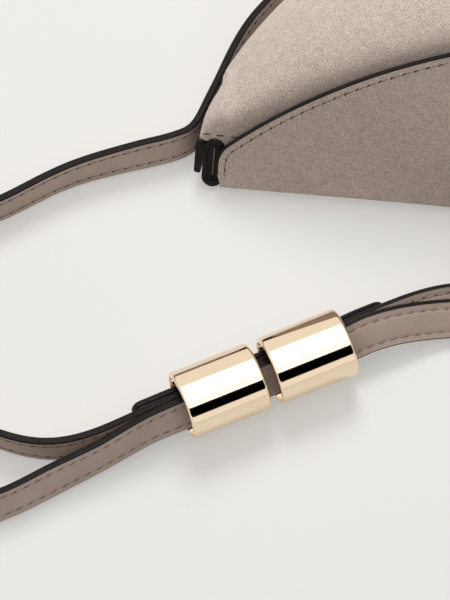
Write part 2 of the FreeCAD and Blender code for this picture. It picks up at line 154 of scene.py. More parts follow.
def coloured(material, colour):
    """Joins the colour to the shader."""
    material.node_tree.links.new(colour, shader_of(material).inputs["Base Color"])
    print("finish", material.name)


def raised(material, height, strength, distance):
    """The pattern felt as relief."""
    bump = material.node_tree.nodes.new("ShaderNodeBump")
    bump.inputs["Strength"].default_value = strength
    bump.inputs["Distance"].default_value = distance
    material.node_tree.links.new(height, bump.inputs["Height"])
    material.node_tree.links.new(bump.outputs["Normal"], shader_of(material).inputs["Normal"])

# %% Suede
suede, place = finish("taupe_suede", {
    "Roughness": 0.95, "Specular IOR Level": 0.15, "Sheen Weight": 0.25,
    "Sheen Roughness": 0.6, "Sheen Tint": (0.95, 0.88, 0.83, 1)})
fibres = grain(suede, place, scale=2900, detail=3)
mottling = grain(suede, place, scale=420, detail=4)
drift = grain(suede, place, scale=22, detail=2)
nap = tones(suede, drift, (0.632, 0.522, 0.458), (0.702, 0.584, 0.514))
nap = multiplied(suede, 0.75, nap, tones(suede, mottling, (0.86, 0.855, 0.85), (1, 1, 1),
                                         low_at=0.36, high_at=0.64))
nap = multiplied(suede, 0.85, nap, tones(suede, fibres, (0.42, 0.41, 0.40), (1, 1, 1),
                                         low_at=0.34, high_at=0.62))
coloured(suede, nap)
raised(suede, fibres, strength=0.5, distance=0.0003)

# %% [markdown]
# ## Strap leather, painted edge and thread
# The strap is smooth calf leather in the same taupe, a little glossy, with a very fine pore.
# Cut edges of leather goods are sealed with several coats of thick dark paint, which dries
# to a round bead with a soft gloss. The thread is tonal, but its colour is darker than the
# leather's as painted shade, since only its shaded side shows in the groove. The holes that
# it pulls into the leather are drawn as marks of painted shade, darker than the thread, with
# a finish of their own.

# %% Strap leather
leather, place = finish("strap_leather", {"Roughness": 0.5})
pores = grain(leather, place, scale=2600, detail=2)
cloudy = grain(leather, place, scale=60, detail=3)
calf = tones(leather, cloudy, (0.420, 0.317, 0.266), (0.480, 0.366, 0.311))
calf = multiplied(leather, 0.5, calf, tones(leather, pores, (0.82, 0.81, 0.80), (1, 1, 1)))
coloured(leather, calf)
raised(leather, pores, strength=0.25, distance=0.0002)

# %% Painted edge
edge_paint, place = finish("edge_paint", {"Roughness": 0.36, "Specular IOR Level": 0.14})
ripple = grain(edge_paint, place, scale=500, detail=2)
coloured(edge_paint, tones(edge_paint, ripple, (0.0070, 0.0055, 0.0050),
                           (0.0125, 0.0100, 0.0090)))
raised(edge_paint, ripple, strength=0.2, distance=0.0003)

# %% Thread, and the painted shade of the hole a stitch goes into
# The thread's tones are darker than the leather's: its own tonal colour with painted shade, since
# only its shaded side shows in the groove.
thread, place = finish("tonal_thread", {"Roughness": 0.7})
coloured(thread, tones(thread, grain(thread, place, scale=3000, detail=1),
                       (0.23, 0.173, 0.143), (0.32, 0.245, 0.205)))
# The near-black tones are painted shade: the shade inside a needle hole and a sunk stitch.
stitch_shade, place = finish("stitch_shade", {"Roughness": 0.8})
coloured(stitch_shade, tones(stitch_shade, grain(stitch_shade, place, scale=3000, detail=1),
                            (0.030, 0.021, 0.018), (0.060, 0.043, 0.037)))

# %% [markdown]
# ## Plated metal, magnets and lining
# The barrels are plated in a pale, warm gold and polished, so they show little but what is
# around them: a roughness near zero and a colour that only tints the reflection. The magnet
# buttons are the same metal with a brushed face. The lining is a close plain weave.

# %% Metal and lining
gold, place = finish("pale_gold", {"Roughness": 0.07, "Metallic": 1.0})
coloured(gold, tones(gold, grain(gold, place, scale=40, detail=2),
                     (0.870, 0.700, 0.500), (0.905, 0.745, 0.555)))
raised(gold, grain(gold, place, scale=90, detail=1), strength=0.02, distance=0.0002)

magnet_metal, place = finish("magnet_metal", {"Roughness": 0.3, "Metallic": 1.0})
brushed = grain(magnet_metal, place, scale=900, detail=3, stretch=(1, 0.05, 1))
coloured(magnet_metal, tones(magnet_metal, brushed, (0.60, 0.49, 0.35), (0.78, 0.66, 0.49)))

lining, place = finish("woven_lining", {"Roughness": 0.85})
weave = tones(lining, grain(lining, place, scale=30, detail=2),
              (0.235, 0.185, 0.155), (0.275, 0.220, 0.185))
for stretch in ((0.08, 1, 1), (1, 0.08, 1)):
    yarns = grain(lining, place, scale=1800, detail=1, stretch=stretch)
    weave = multiplied(lining, 0.6, weave, tones(lining, yarns, (0.6, 0.6, 0.6), (1, 1, 1)))
coloured(lining, weave)
raised(lining, yarns, strength=0.3, distance=0.0003)

# %% [markdown]
# ## From numbers to a mesh
# Almost every piece of a bag is a sheet with two faces and an edge, or a band swept along a
# line. Both are grids of points, so two small helpers make them: one closes a pair of grids
# into a sheet with a wall all round, the other closes a ring of sections into a band. The
# wall of a sheet can have a finish of its own, as a cut edge has.

# %% Mesh helpers
SHARP_ANGLE = math.radians(50)


def piece(name, points, faces, finishes, slots=None):
    """A mesh object from millimetres in the maker's frame, at the origin."""
    mesh = bpy.data.meshes.new(name)
    mesh.from_pydata(to_frame(points).reshape(-1, 3).tolist(), [], [list(f) for f in faces])
    for material in finishes:
        mesh.materials.append(material)
    if slots is not None:
        mesh.polygons.foreach_set("material_index", slots)
    mesh.polygons.foreach_set("use_smooth", [True] * len(mesh.polygons))
    mesh.validate()
    mesh.update()
    mesh.set_sharp_from_angle(angle=SHARP_ANGLE)
    obj = bpy.data.objects.new(name, mesh)
    bpy.context.collection.objects.link(obj)
    print(name, len(mesh.polygons), "faces")
    return obj


def grid_faces(rows, columns, start=0, flip=False, wrap=False):
    """Quads over a grid of points, counted row by row."""
    faces = []
    for i in range(rows - 1):
        for j in range(columns if wrap else columns - 1):
            k = (j + 1) % columns
            quad = [start + i * columns + j, start + i * columns + k,
                    start + (i + 1) * columns + k, start + (i + 1) * columns + j]
            faces.append(quad[::-1] if flip else quad)
    return faces


def sheet_piece(name, face, back, finishes, wall=0):
    """A closed sheet between two grids of points. Wall is the edge's place in finishes."""
    rows, columns = face.shape[:2]
    count = rows * columns
    faces = grid_faces(rows, columns) + grid_faces(rows, columns, count, True)
    slots = [0] * len(faces)
    rim = [(i, 0) for i in range(rows)] + [(rows - 1, j) for j in range(1, columns)]
    rim += [(i, columns - 1) for i in range(rows - 2, -1, -1)]
    rim += [(0, j) for j in range(columns - 2, 0, -1)]
    ring = [i * columns + j for i, j in rim]
    for a, b in zip(ring, ring[1:] + ring[:1]):
        faces.append([a, b, b + count, a + count])
        slots.append(wall)
    return piece(name, np.concatenate([face.reshape(-1, 3), back.reshape(-1, 3)]), faces,
                 finishes, slots)


def band_piece(name, rings, finishes, strip_slots=None):
    """A closed band through rings of points, with flat ends."""
    count, around = rings.shape[:2]
    faces = grid_faces(count, around, wrap=True)
    slots = list(strip_slots or [0] * around) * (count - 1)
    faces.append(list(range(around))[::-1])
    faces.append([(count - 1) * around + j for j in range(around)])
    slots += [0, 0]
    return piece(name, rings, faces, finishes, slots)


def outward(obj):
    """Turns the faces of a closed mesh outwards if its volume comes out negative."""
    mesh = obj.data
    mesh.calc_loop_triangles()
    spots = np.array([v.co for v in mesh.vertices])
    tri = np.array([t.vertices for t in mesh.loop_triangles])
    a, b, c = spots[tri[:, 0]], spots[tri[:, 1]], spots[tri[:, 2]]
    volume = np.einsum("ij,ij->i", a, np.cross(b, c)).sum() / 6
    if volume < 0:
        mesh.flip_normals()
    print(obj.name, "holds %.2f cm3" % (abs(volume) * 1e6))
    return obj


# %% [markdown]
# ## The strap's line
# A flat strap on edge bends only in its flat direction, so its middle line is one smooth
# curve on the table and its section stays nearly upright. The line is given by the points a
# maker would chalk on the table, with the height of its middle and how far it leans. A
# cubic spline through those points, with its two end directions given, has no kinks.

# %% Sizes of the strap, the keeper and their straight run
STRAP_WIDE, STRAP_THICK, STRAP_GAP = 12.0, 2.3, 0.15
KEEPER_WIDE, KEEPER_THICK, KEEPER_CORNER_R = 11.0, 2.0, 3.0
KEEPER_ENDS = (-39.9, 41.4)
KEEPER_LIFT = 0.8        # the keeper stands a little above the strands
RUN_MID, RUN_HEIGHT, RUN_TURN, RUN_HALF = (-113.0, -58.5), 8.8, math.radians(31), 42.0
RUN_LEAN = (20.0, 49.0)
RUN_BACK = 1.2           # the strands lie this much further back at the run's right end
BACK_FROM, BACK_OVER = -8.0, 40.0      # they begin to draw back there, over this length
LEAD_STEPS = (14, 20, 26)              # straight places at each end of a half, from the middle
RUN_LEFT_AT = 32.0       # where the strands begin to leave the straight run

stack = KEEPER_THICK + 2 * STRAP_THICK + 2 * STRAP_GAP
KEEPER_LAYER = -stack / 2 + KEEPER_THICK / 2
INNER_LAYER = KEEPER_LAYER + KEEPER_THICK / 2 + STRAP_GAP + STRAP_THICK / 2
OUTER_LAYER = INNER_LAYER + STRAP_THICK + STRAP_GAP
print("keeper and strands are %.1f mm deep together" % stack)

# %% Route of the strap: x, y, height of the middle, lean to the left of the way in degrees
INNER_LEFT = [(-157.5, -84.1, 7.0, 9), (-166.0, -87.6, 6.5, 6), (-175.5, -89.0, 6.2, 2),
              (-187.5, -87.5, 6.1, 0), (-205.5, -81.0, 6.1, 0),
              (-220.5, -68.0, 6.1, 0), (-225.5, -49.5, 6.1, 0), (-219.5, -32.5, 6.1, 0),
              (-207.0, -21.3, 6.1, -5), (-196.5, -14.4, 6.1, -6), (-182.8, -4.2, 6.1, -7),
              (-174.7, 0.6, 6.1, -9), (-166.5, 4.4, 6.2, -12), (-157.9, 8.0, 6.4, -15)]
CORNER_LEFT = [(-148.5, 12.0, 6.8, 15), (-144.6, 15.0, 6.9, 11), (-142.7, 19.0, 6.8, 7)]
OUTER_LEFT = [(-141.3, 24.7, 6.5, 4), (-139.3, 31.0, 6.3, 6), (-135.2, 43.6, 6.2, 13),
              (-130.3, 54.7, 6.2, 18), (-121.9, 67.5, 6.2, 22), (-116.5, 80.5, 6.1, 16),
              (-118.0, 94.5, 6.1, 6), (-128.0, 107.0, 6.1, 0), (-146.0, 114.5, 6.1, 0),
              (-174.0, 114.0, 6.1, 0), (-205.0, 102.5, 6.1, 0), (-235.0, 78.0, 6.1, 0),
              (-257.0, 45.0, 6.1, 0), (-269.0, 6.0, 6.1, 0), (-271.5, -34.0, 6.1, 0),
              (-264.0, -72.0, 6.1, 2), (-246.5, -102.6, 6.1, 9), (-222.0, -116.6, 6.1, 22),
              (-199.0, -113.9, 6.2, 33), (-181.8, -106.9, 6.2, 23), (-169.0, -97.9, 6.5, 24),
              (-156.0, -88.7, 7.3, 20)]
INNER_ACROSS = [(-62.0, -27.2, 6.1, 48), (-40.0, -24.2, 5.4, 46),
                (0.0, -24.2, 5.7, 38), (60.0, -40.0, 6.1, 28), (120.0, -62.5, 6.2, 24),
                (160.0, -79.5, 6.2, 22)]
OUTER_ACROSS = [(-62.0, -32.2, 6.1, 49), (-40.0, -28.6, 5.4, 48),
                (0.0, -31.6, 5.7, 38), (60.0, -54.0, 6.1, 28), (120.0, -79.5, 6.2, 24),
                (160.0, -97.5, 6.2, 22)]


# %% The straight run
RISE = np.array([0.0, 0.0, 1.0])
run_dir = np.array([math.cos(RUN_TURN), math.sin(RUN_TURN), 0.0])
run_front = np.array([run_dir[1], -run_dir[0], 0.0])


def run_lean(along):
    """The lean of the stack at a distance along its straight run."""
    return RUN_LEAN[0] + (RUN_LEAN[1] - RUN_LEAN[0]) * (along + RUN_HALF) / (2 * RUN_HALF)


def leaned(left, lean):
    """Across and up of a strap that leans to its left by some degrees."""
    tilt = np.radians(np.asarray(lean, float))[..., None]
    across = left * np.cos(tilt) - RISE * np.sin(tilt)
    up = RISE * np.cos(tilt) + left * np.sin(tilt)
    return across, up


def run_spot(along, layer):
    """A point of the straight run: middle line of the layer, and its lean."""
    across, up = leaned(-run_front, run_lean(along))
    back = RUN_BACK * min(max((along - BACK_FROM) / BACK_OVER, 0.0), 1.0) ** 2
    spot = (np.array([*RUN_MID, RUN_HEIGHT]) + run_dir * along - across * layer
            - run_front * back)
    return (*spot, run_lean(along))


def turned(points):
    """The same points for a way back, so that their leans change sides."""
    return [(x, y, z, -lean) for x, y, z, lean in points]


def mirrored(points):
    """The same points on the other side of the bag."""
    return [(-x, y, z, lean) for x, y, z, lean in points]


print("run leans %.0f to %.0f degrees" % (run_lean(-RUN_HALF), run_lean(RUN_HALF)))

# %% A smooth line through points
FINE_STEP = 0.4          # the spline is drawn this finely before it is cut into steps


def smooth_line(points, start, end, step):
    """Along a cubic spline, a step apart: places, headings and leans, and its length."""
    knots = np.array(points, float)
    spots, leans = knots[:, :3], knots[:, 3]
    span = np.linalg.norm(np.diff(spots, axis=0), axis=1)
    size = len(spots)
    # One equation per knot: the curve bends as much just before it as just after it.
    system, wanted = np.zeros((size, size)), np.zeros((size, 3))
    system[0, 0] = system[-1, -1] = 1
    wanted[0], wanted[-1] = start, end
    for i in range(1, size - 1):
        before, after = span[i - 1], span[i]
        system[i, i - 1:i + 2] = (after, 2 * (before + after), before)
        wanted[i] = 3 * (after * (spots[i] - spots[i - 1]) / before
                         + before * (spots[i + 1] - spots[i]) / after)
    slopes = np.linalg.solve(system, wanted)
    at = np.concatenate([[0], np.cumsum(span)])
    fine = np.linspace(0, at[-1], int(at[-1] / FINE_STEP))
    i = np.clip(np.searchsorted(at, fine, side="right") - 1, 0, size - 2)
    t = ((fine - at[i]) / span[i])[:, None]
    h = span[i][:, None]
    line = ((2 * t ** 3 - 3 * t ** 2 + 1) * spots[i] + (t ** 3 - 2 * t ** 2 + t) * h * slopes[i]
            + (3 * t ** 2 - 2 * t ** 3) * spots[i + 1] + (t ** 3 - t ** 2) * h * slopes[i + 1])
    run = np.concatenate([[0], np.cumsum(np.linalg.norm(np.diff(line, axis=0), axis=1))])
    marks = np.linspace(0, run[-1], max(3, round(run[-1] / step)) + 1)
    middle = np.stack([np.interp(marks, run, line[:, k]) for k in range(3)], axis=1)
    heading = np.gradient(middle, axis=0)
    heading[0], heading[-1] = start, end
    lean = np.interp(np.interp(marks, run, fine), at, leans)
    return middle, heading, lean, run[-1]


# %% Across and up along the strap
STRAP_STEP = 2.2


def strap_frames(points, side):
    """Middle, across and up along one half of the strap, from inner to outer strand."""
    middle, heading, lean, length = smooth_line(points, side * run_dir, -side * run_dir,
                                                STRAP_STEP)
    first = np.array([run_spot(side * a, INNER_LAYER) for a in LEAD_STEPS])
    last = np.array([run_spot(side * a, OUTER_LAYER) for a in LEAD_STEPS[::-1]])
    middle = np.concatenate([first[:, :3], middle, last[:, :3]])
    lean = np.concatenate([side * first[:, 3], lean, -side * last[:, 3]])
    straight = np.tile(side * run_dir, (len(LEAD_STEPS), 1))
    heading = np.concatenate([straight, heading, -straight])
    heading[:, 2] = 0
    heading /= np.linalg.norm(heading, axis=1)[:, None]
    left = np.stack([-heading[:, 1], heading[:, 0], 0 * lean], axis=1)
    across, up = leaned(left, lean)
    return middle, across, up, length


# %% [markdown]
# ## The strap
# The strap is two layers of leather glued and sewn, with painted edges. Its section is a
# slim rectangle with crowned faces, a shallow groove where the stitches pull the leather in,
# and a round bead of paint on both edges. One section swept along the line makes each half,
# and the halves end inside the barrels, where no joint shows.

# %% Strap section
ROW_AT = STRAP_WIDE / 2 - 2.4
PAINT_REACH = 0.61       # how far the paint comes in from the cut edge


def strap_section():
    """The strap's outline as across and up: domed paint, a crowned face, two sewn grooves."""
    edge = STRAP_WIDE / 2
    half = STRAP_THICK / 2
    side = [(half - 0.75, -edge), (half - 0.32, -edge + 0.14), (half - 0.05, -edge + 0.40),
            (half, -edge + 0.56), (half - 0.02, -edge + 0.62), (half, -edge + 1.3),
            (half - 0.04, -ROW_AT - 0.5), (half - 0.20, -ROW_AT), (half - 0.03, -ROW_AT + 0.5),
            (half + 0.04, -ROW_AT + 1.4), (half + 0.06, 0.0)]
    face = side + [(a, -b) for a, b in side[-2::-1]]
    return face + [(-a, -b) for a, b in face]


def edge_or_leather(section):
    """Which finish each strip between two section points takes: 1 on the painted edges."""
    from_middle = [abs(up) for across, up in section]
    pairs = zip(from_middle, from_middle[1:] + from_middle[:1])
    return [1 if min(pair) > STRAP_WIDE / 2 - PAINT_REACH else 0 for pair in pairs]


section = strap_section()
section_slots = edge_or_leather(section)
print("strap section of", len(section), "points,", sum(section_slots), "strips painted")


# %% The two halves of the strap
def sweep_strap(name, frames):
    """The strap's section carried along its frames."""
    middle, across, up, length = frames
    rings = np.stack([middle + across * a + up * b for a, b in section], axis=1)
    print(name, "is swept over %.0f mm" % length)
    return outward(band_piece(name, rings, [leather, edge_paint], section_slots))


there = turned([run_spot(-RUN_LEFT_AT, INNER_LAYER)] + INNER_LEFT)
left_route = there + CORNER_LEFT + OUTER_LEFT + [run_spot(-RUN_LEFT_AT, OUTER_LAYER)]
left_frames = strap_frames(left_route, -1)
strap_left = sweep_strap("strap_left", left_frames)

loop_in = mirrored(INNER_LEFT[2:] + turned(CORNER_LEFT))
loop_out = mirrored(turned(OUTER_LEFT[:-2]))
back_across = turned([run_spot(RUN_LEFT_AT, OUTER_LAYER)] + OUTER_ACROSS)[::-1]
right_route = [run_spot(RUN_LEFT_AT, INNER_LAYER)] + INNER_ACROSS + loop_in + loop_out
right_frames = strap_frames(right_route + back_across, 1)
strap_right = sweep_strap("strap_right", right_frames)


# %% The strands inside the barrels
def run_frames(layer):
    """Frames of a layer along the middle of the straight run."""
    marks = np.linspace(-LEAD_STEPS[0], LEAD_STEPS[0], 15)
    spots = np.array([run_spot(a, layer) for a in marks])
    across, up = leaned(-run_front, spots[:, 3])
    return spots[:, :3], across, up, 2 * LEAD_STEPS[0]


strap_inner_middle = sweep_strap("strap_inner_middle", run_frames(INNER_LAYER))
strap_outer_middle = sweep_strap("strap_outer_middle", run_frames(OUTER_LAYER))

# %% [markdown]
# ## The keeper
# A short, stiff strip of leather lies behind the two strands inside the barrels and keeps
# them from turning over. Its two ends are rounded and painted, and they stand out of the
# barrels. Its section is a plain band whose width closes in on a circle at both ends.

# %% Keeper strip
KEEPER_FACES = (2, 3, 9, 10)       # the strips of the section that stay unpainted
half = KEEPER_THICK / 2
keeper_section = [(half - 0.5, -1.0), (half - 0.1, -0.96), (half, -0.85), (half, 0.0),
                  (half, 0.85), (half - 0.1, 0.96), (half - 0.5, 1.0)]
keeper_section += [(-a, -b) for a, b in keeper_section]
keeper_slots = [0 if j in KEEPER_FACES else 1 for j in range(len(keeper_section))]


def keeper_ring(along):
    """The keeper's section at a place along the run, closed in on a circle at the ends."""
    x, y, z, lean = run_spot(along, KEEPER_LAYER)
    across, up = leaned(-run_front, lean)
    from_end = min(along - KEEPER_ENDS[0], KEEPER_ENDS[1] - along)
    into = max(0.0, KEEPER_CORNER_R - from_end)
    half_wide = KEEPER_WIDE / 2 - KEEPER_CORNER_R + math.sqrt(KEEPER_CORNER_R ** 2 - into ** 2)
    return [(x, y, z) - across * a + up * (b * half_wide + KEEPER_LIFT)
            for a, b in keeper_section]


round_end = KEEPER_CORNER_R * (1 - np.cos(np.linspace(0, math.pi / 2, 9)))
straight = np.linspace(KEEPER_ENDS[0] + KEEPER_CORNER_R, KEEPER_ENDS[1] - KEEPER_CORNER_R, 40)
keeper_marks = np.concatenate([KEEPER_ENDS[0] + round_end, straight[1:-1],
                               KEEPER_ENDS[1] - round_end[::-1]])
keeper_rings = np.array([keeper_ring(a) for a in keeper_marks])
keeper = outward(band_piece("keeper_strip_dressed", keeper_rings, [leather, edge_paint],
                            keeper_slots))

# %% [markdown]
# ## The two barrels
# A strap slider of this kind is a short turned tube, polished and plated, with its rims
# broken by a small radius so that they don't cut the leather. It is a lathe part, so its
# profile is drawn once and turned round the axis. The rounded rims matter: they catch the
# thin bright line that tells the eye the metal is thick.

# %% Barrels
BARREL_R, BARREL_WALL, BARREL_LONG, BARREL_GAP, RIM_R = 10.4, 1.4, 24.4, 3.4, 1.0
AROUND = 160
SIDES = (("left", -1), ("right", 1))


def barrel_profile():
    """Places along the axis and radii of one barrel's wall, as a closed loop."""
    half, inside = BARREL_LONG / 2, BARREL_R - BARREL_WALL
    right_end = [(half - RIM_R + RIM_R * math.sin(t), BARREL_R - RIM_R + RIM_R * math.cos(t))
                 for t in np.linspace(0, math.pi / 2, 9)]
    right_end += [(half - 0.05, inside + 0.08), (half - 0.3, inside)]
    return right_end + [(-s, r) for s, r in right_end[::-1]]


def barrel(name, side):
    """One barrel, turned round the axis of the run."""
    middle = np.array([*RUN_MID, BARREL_R]) + run_dir * side * (BARREL_GAP + BARREL_LONG) / 2
    angle = np.linspace(0, 2 * math.pi, AROUND, endpoint=False)
    spokes = np.outer(np.cos(angle), RISE) + np.outer(np.sin(angle), run_front)
    rings = np.array([middle + run_dir * s + spokes * r for s, r in barrel_profile()])
    count = len(rings) * AROUND
    faces = [[k % count for k in f] for f in grid_faces(len(rings) + 1, AROUND, wrap=True)]
    return outward(piece(name, rings, faces, [gold]))


barrels = [barrel("barrel_%s_polished" % label, side) for label, side in SIDES]

# %% [markdown]
# ## The front of the bag
# The front panel is a half moon that swells over the things inside and lies behind the flap
# at the mouth. Its section is flat at the mouth, bends at the flap's edge, rises, and rolls
# down to the seam. The same section, taken at every place along the straight side, makes
# the panel, and at both corners the panel laps over the folded end of the mouth as a small
# hood. The slow waves of the leather come from a smooth noise.

# %% Sizes of the bag
HALF_LONG, REACH, DEPTH, BASE_Y, POWER = 133.6, 140.0, 105.0, 8.0, 1.8
PUFF, PANEL, LINING_SKIN, LINING_GAP, SEAM_Z = 8.0, 2.0, 0.9, 0.3, 5.0
LEAN = math.radians(30)
FLAP_HALF, FLAP_HIGH, ARCH_R, CORNER_R, ROLL_R = 135.6, 71.1, 184.0, 10.0, 3.0
MOUTH_HALF, MOUTH_HIGH, MOUTH_END = 128.0, 48.0, 8.0
FACE_OUT = -0.3          # the front's mouth lies this far inside the flap
BOW_EVEN, BOW_MIDDLE, BOW_HIGH = 1.0, 4.2, 40.0
fold = np.array([0, 3.6, 4.0])
slope_up = np.array([0, math.sin(LEAN), math.cos(LEAN)])
slope_out = np.array([0, -math.cos(LEAN), math.sin(LEAN)])


def outline_y(x):
    """How far back the half moon's outline lies at x."""
    share = min(abs(x) / REACH, 1.0)
    return BASE_Y + DEPTH * (1 - share ** POWER) ** (1 / POWER)


def arch(x):
    """How far up the slope the flap's arch lies at x."""
    return FLAP_HIGH - ARCH_R + math.sqrt(ARCH_R ** 2 - x * x)


def mouth(x):
    """How far up the slope the mouth's rim lies at x."""
    rise = MOUTH_HIGH - MOUTH_END
    radius = (MOUTH_HALF ** 2 + rise ** 2) / (2 * rise)
    return MOUTH_HIGH - radius + math.sqrt(radius ** 2 - x * x)


def on_slope(x, height, out):
    """A point given along the flap's slope and square to it, with the fold's slow bow."""
    bow = BOW_EVEN + BOW_MIDDLE * max(0.0, 1 - (x / FLAP_HALF) ** 2) ** 1.2
    fade = max(0.0, 1 - max(height, 0.0) / BOW_HIGH) ** 2
    return fold + slope_up * height + slope_out * out + np.array([x, bow * fade, 0])


print("body %.0f mm long, %.0f mm deep" % (2 * HALF_LONG, outline_y(0)))


# %% A soft curve through poles, and a soft step
def spline_weights(poles, count):
    """Weights of a clamped cubic B-spline's poles at evenly spread places."""
    knots = np.concatenate([[0] * 3, np.linspace(0, 1, poles - 2), [1] * 3])
    at = np.linspace(0, 1 - 1e-9, count)     # the last place stays inside the last span
    weights = [((knots[i] <= at) & (at < knots[i + 1])).astype(float)
               for i in range(poles + 3)]
    for degree in (1, 2, 3):
        following = []
        for i in range(poles + 3 - degree):
            low, high = knots[i + degree] - knots[i], knots[i + degree + 1] - knots[i + 1]
            value = np.zeros(count)
            if low > 0:
                value += (at - knots[i]) / low * weights[i]
            if high > 0:
                value += (knots[i + degree + 1] - at) / high * weights[i + 1]
            following.append(value)
        weights = following
    return np.array(weights).T


def eased(share):
    """A share from 0 to 1 that sets off and arrives softly."""
    share = np.clip(share, 0, 1)
    return share * share * (3 - 2 * share)

# %% The front's section
SWELL_ROWS, RIM_ROWS = 46, 9
SIDE_BULGE = 4.0         # the front's side swells out over the strap, most at the corners
BULGE_AT_MIDDLE = 0.4    # as a share of the bulge at the corners
SWELL_POLES = (          # share of the way back, share of the height, millimetres beyond
    (0.16, 1.0, 0.0), (0.48, 1.06, 0.0), (0.84, 0.94, 0.0),
    (1.0, 0.62, 0.0), (1.0, 0.25, 0.6), (1.0, 0.0, -1.2))
swell_weights = spline_weights(len(SWELL_POLES) + 2, SWELL_ROWS)


def seam_side(x):
    """The level direction square to the outline at x."""
    ahead_x, behind_x = min(x + 0.5, REACH - 0.1), max(x - 0.5, 0.1 - REACH)
    run = outline_y(ahead_x) - outline_y(behind_x)
    return np.array([-run, 1.0]) / math.hypot(run, 1.0)


def front_line(x, depth):
    """The front panel's section at x, sunk by depth, from the mouth's rim to the seam."""
    high = arch(x)
    rim = [on_slope(x, h, FACE_OUT - depth)
           for h in np.linspace(mouth(x), high + 1, RIM_ROWS)]
    bend = rim[-1]
    tall = fold[2] + high * math.cos(LEAN) + PUFF - depth - SEAM_Z
    wide = outline_y(x) - depth - bend[1]
    poles = [bend, bend + slope_up * PUFF / 2]
    poles += [(x, bend[1] + back * wide + beyond, SEAM_Z + up * tall)
              for back, up, beyond in SWELL_POLES]
    swell = swell_weights @ np.array(poles)
    share = np.clip((swell[:, 2] - SEAM_Z) / tall, 0, 1)
    share[:np.argmax(swell[:, 2])] = 1
    at_x = BULGE_AT_MIDDLE + (1 - BULGE_AT_MIDDLE) * (x / HALF_LONG) ** 2
    bulge = SIDE_BULGE * at_x * np.sin(math.pi * share ** 0.8)
    swell[:, :2] += bulge[:, None] * seam_side(x)
    return np.array(rim[:-1] + list(swell))

# %% The hood at each corner
HOOD, HOOD_LINES, HEM_H = 8.2, 10, 12.6
HOOD_FROM_Y, HOOD_OVER_Y = 10.0, 24.5        # where the hood's reach fades towards the back
HOOD_LOW_Z, HOOD_OVER_Z = 8.0, 8.0           # and down its side
HEM_LIFT, HEM_FALL, FULL_PULL = 1.6, 0.2, 4.0
hem_y, hem_z = fold[1] + HEM_H * math.sin(LEAN), fold[2] + HEM_H * math.cos(LEAN)


def hood_lines(side, depth):
    """The hood at a corner: the end section carried outwards and down over the gusset."""
    section_end = front_line(side * HALF_LONG, depth)
    y, z = section_end[:, 1], section_end[:, 2]
    past_top = np.arange(len(z)) > np.argmax(z)
    fade_back = 1 - np.clip((y - HOOD_FROM_Y) / HOOD_OVER_Y, 0, 1) ** 2.5
    fade_down = np.where(past_top, eased((z - HOOD_LOW_Z) / HOOD_OVER_Z), z >= hem_z)
    reach = (HOOD - 0.6 * depth) * fade_back * fade_down
    goal_y = np.maximum(y, hem_y)
    goal_z = np.minimum(z, hem_z + HEM_LIFT - HEM_FALL * (goal_y - goal_y.min()))
    pulled = eased(reach / FULL_PULL)
    lines = []
    for s in np.linspace(0, 1, HOOD_LINES)[1:] * math.pi / 2:
        line = section_end.copy()
        line[:, 0] += side * reach * math.sin(s)
        line[:, 1] += (goal_y - y) * (1 - math.cos(s)) * pulled
        line[:, 2] += (goal_z - z) * (1 - math.cos(s)) * pulled
        lines.append(line)
    return lines


# %% Slow waves
WAVE_LONG, WAVE_HIGH, WAVE_SEED = 38.0, 0.9, 2.0
STILL, RIM_EASE, SEAM_EASE = RIM_ROWS + 3, 10, 8         # counted in points of a section


def waved(lines):
    """The grid with its swell moved up and down by a slow noise, but not its rim or seam."""
    shift = Vector((WAVE_SEED, 3.1 * WAVE_SEED, 0))
    moved = [noise.noise(Vector(p) / WAVE_LONG + shift) for p in lines.reshape(-1, 3)]
    columns = np.arange(lines.shape[1])
    ease = np.clip((columns - STILL) / RIM_EASE, 0, 1)
    ease *= np.clip((columns[-1] - columns) / SEAM_EASE, 0, 1)
    lines = lines.copy()
    lines[:, :, 2] += WAVE_HIGH * np.array(moved).reshape(lines.shape[:2]) * ease
    return lines


# %% Front panel
even = np.linspace(-1, 1, 141)
panel_x = HALF_LONG * (0.35 * np.sin(even * math.pi / 2) + 0.65 * even)


def front_grid(depth, hood):
    """The front's surface sunk by depth, with or without its hoods."""
    lines = [front_line(x, depth) for x in panel_x]
    if hood:
        lines = hood_lines(-1, depth)[::-1] + lines + hood_lines(1, depth)
    return waved(np.array(lines))


front = outward(sheet_piece("front_panel_suede", front_grid(0, True), front_grid(PANEL, True),
                            [suede]))
under_front = PANEL + LINING_GAP
front_inside = outward(sheet_piece("front_lining_cloth", front_grid(under_front, False),
                                   front_grid(under_front + LINING_SKIN, False), [lining]))

# %% [markdown]
# ## The back, its lining and the pocket
# The back lies on the table, so it is flat but for its rim, which turns up to meet the front
# at the seam. Its lining lies on it, and a flat slip pocket is sewn to the lining on three
# sides. They show only through the mouth when the flap is open, but a stranger who opens
# the bag expects them.

# %% Back panel and lining
BACK_EDGE_IN, TABLE_GAP, BACK_LINING_IN = 2.0, 0.05, 4.6
TURN_UP, TURN_SHARE, FOLD_LIFT, BELOW_SEAM = 14.0, 0.3, 1.2, 0.6
back_weights = spline_weights(6, 40)


def back_grid(lift, inset):
    """The back's surface at a height above the table, inset from the fold and the seam."""
    lines = []
    for x in panel_x:
        start, edge = on_slope(x, 0, 0)[1] + inset, outline_y(x) - BACK_EDGE_IN - inset
        turn_up = min(TURN_UP, TURN_SHARE * (edge - start))
        poles = np.array([(x, start, lift + FOLD_LIFT), (x, start + turn_up / 2, lift),
                          (x, start + turn_up, lift), (x, edge - turn_up, lift),
                          (x, edge - turn_up / 2, lift),
                          (x, edge, lift + SEAM_Z - PANEL - BELOW_SEAM)])
        lines.append(back_weights @ poles)
    return np.array(lines)


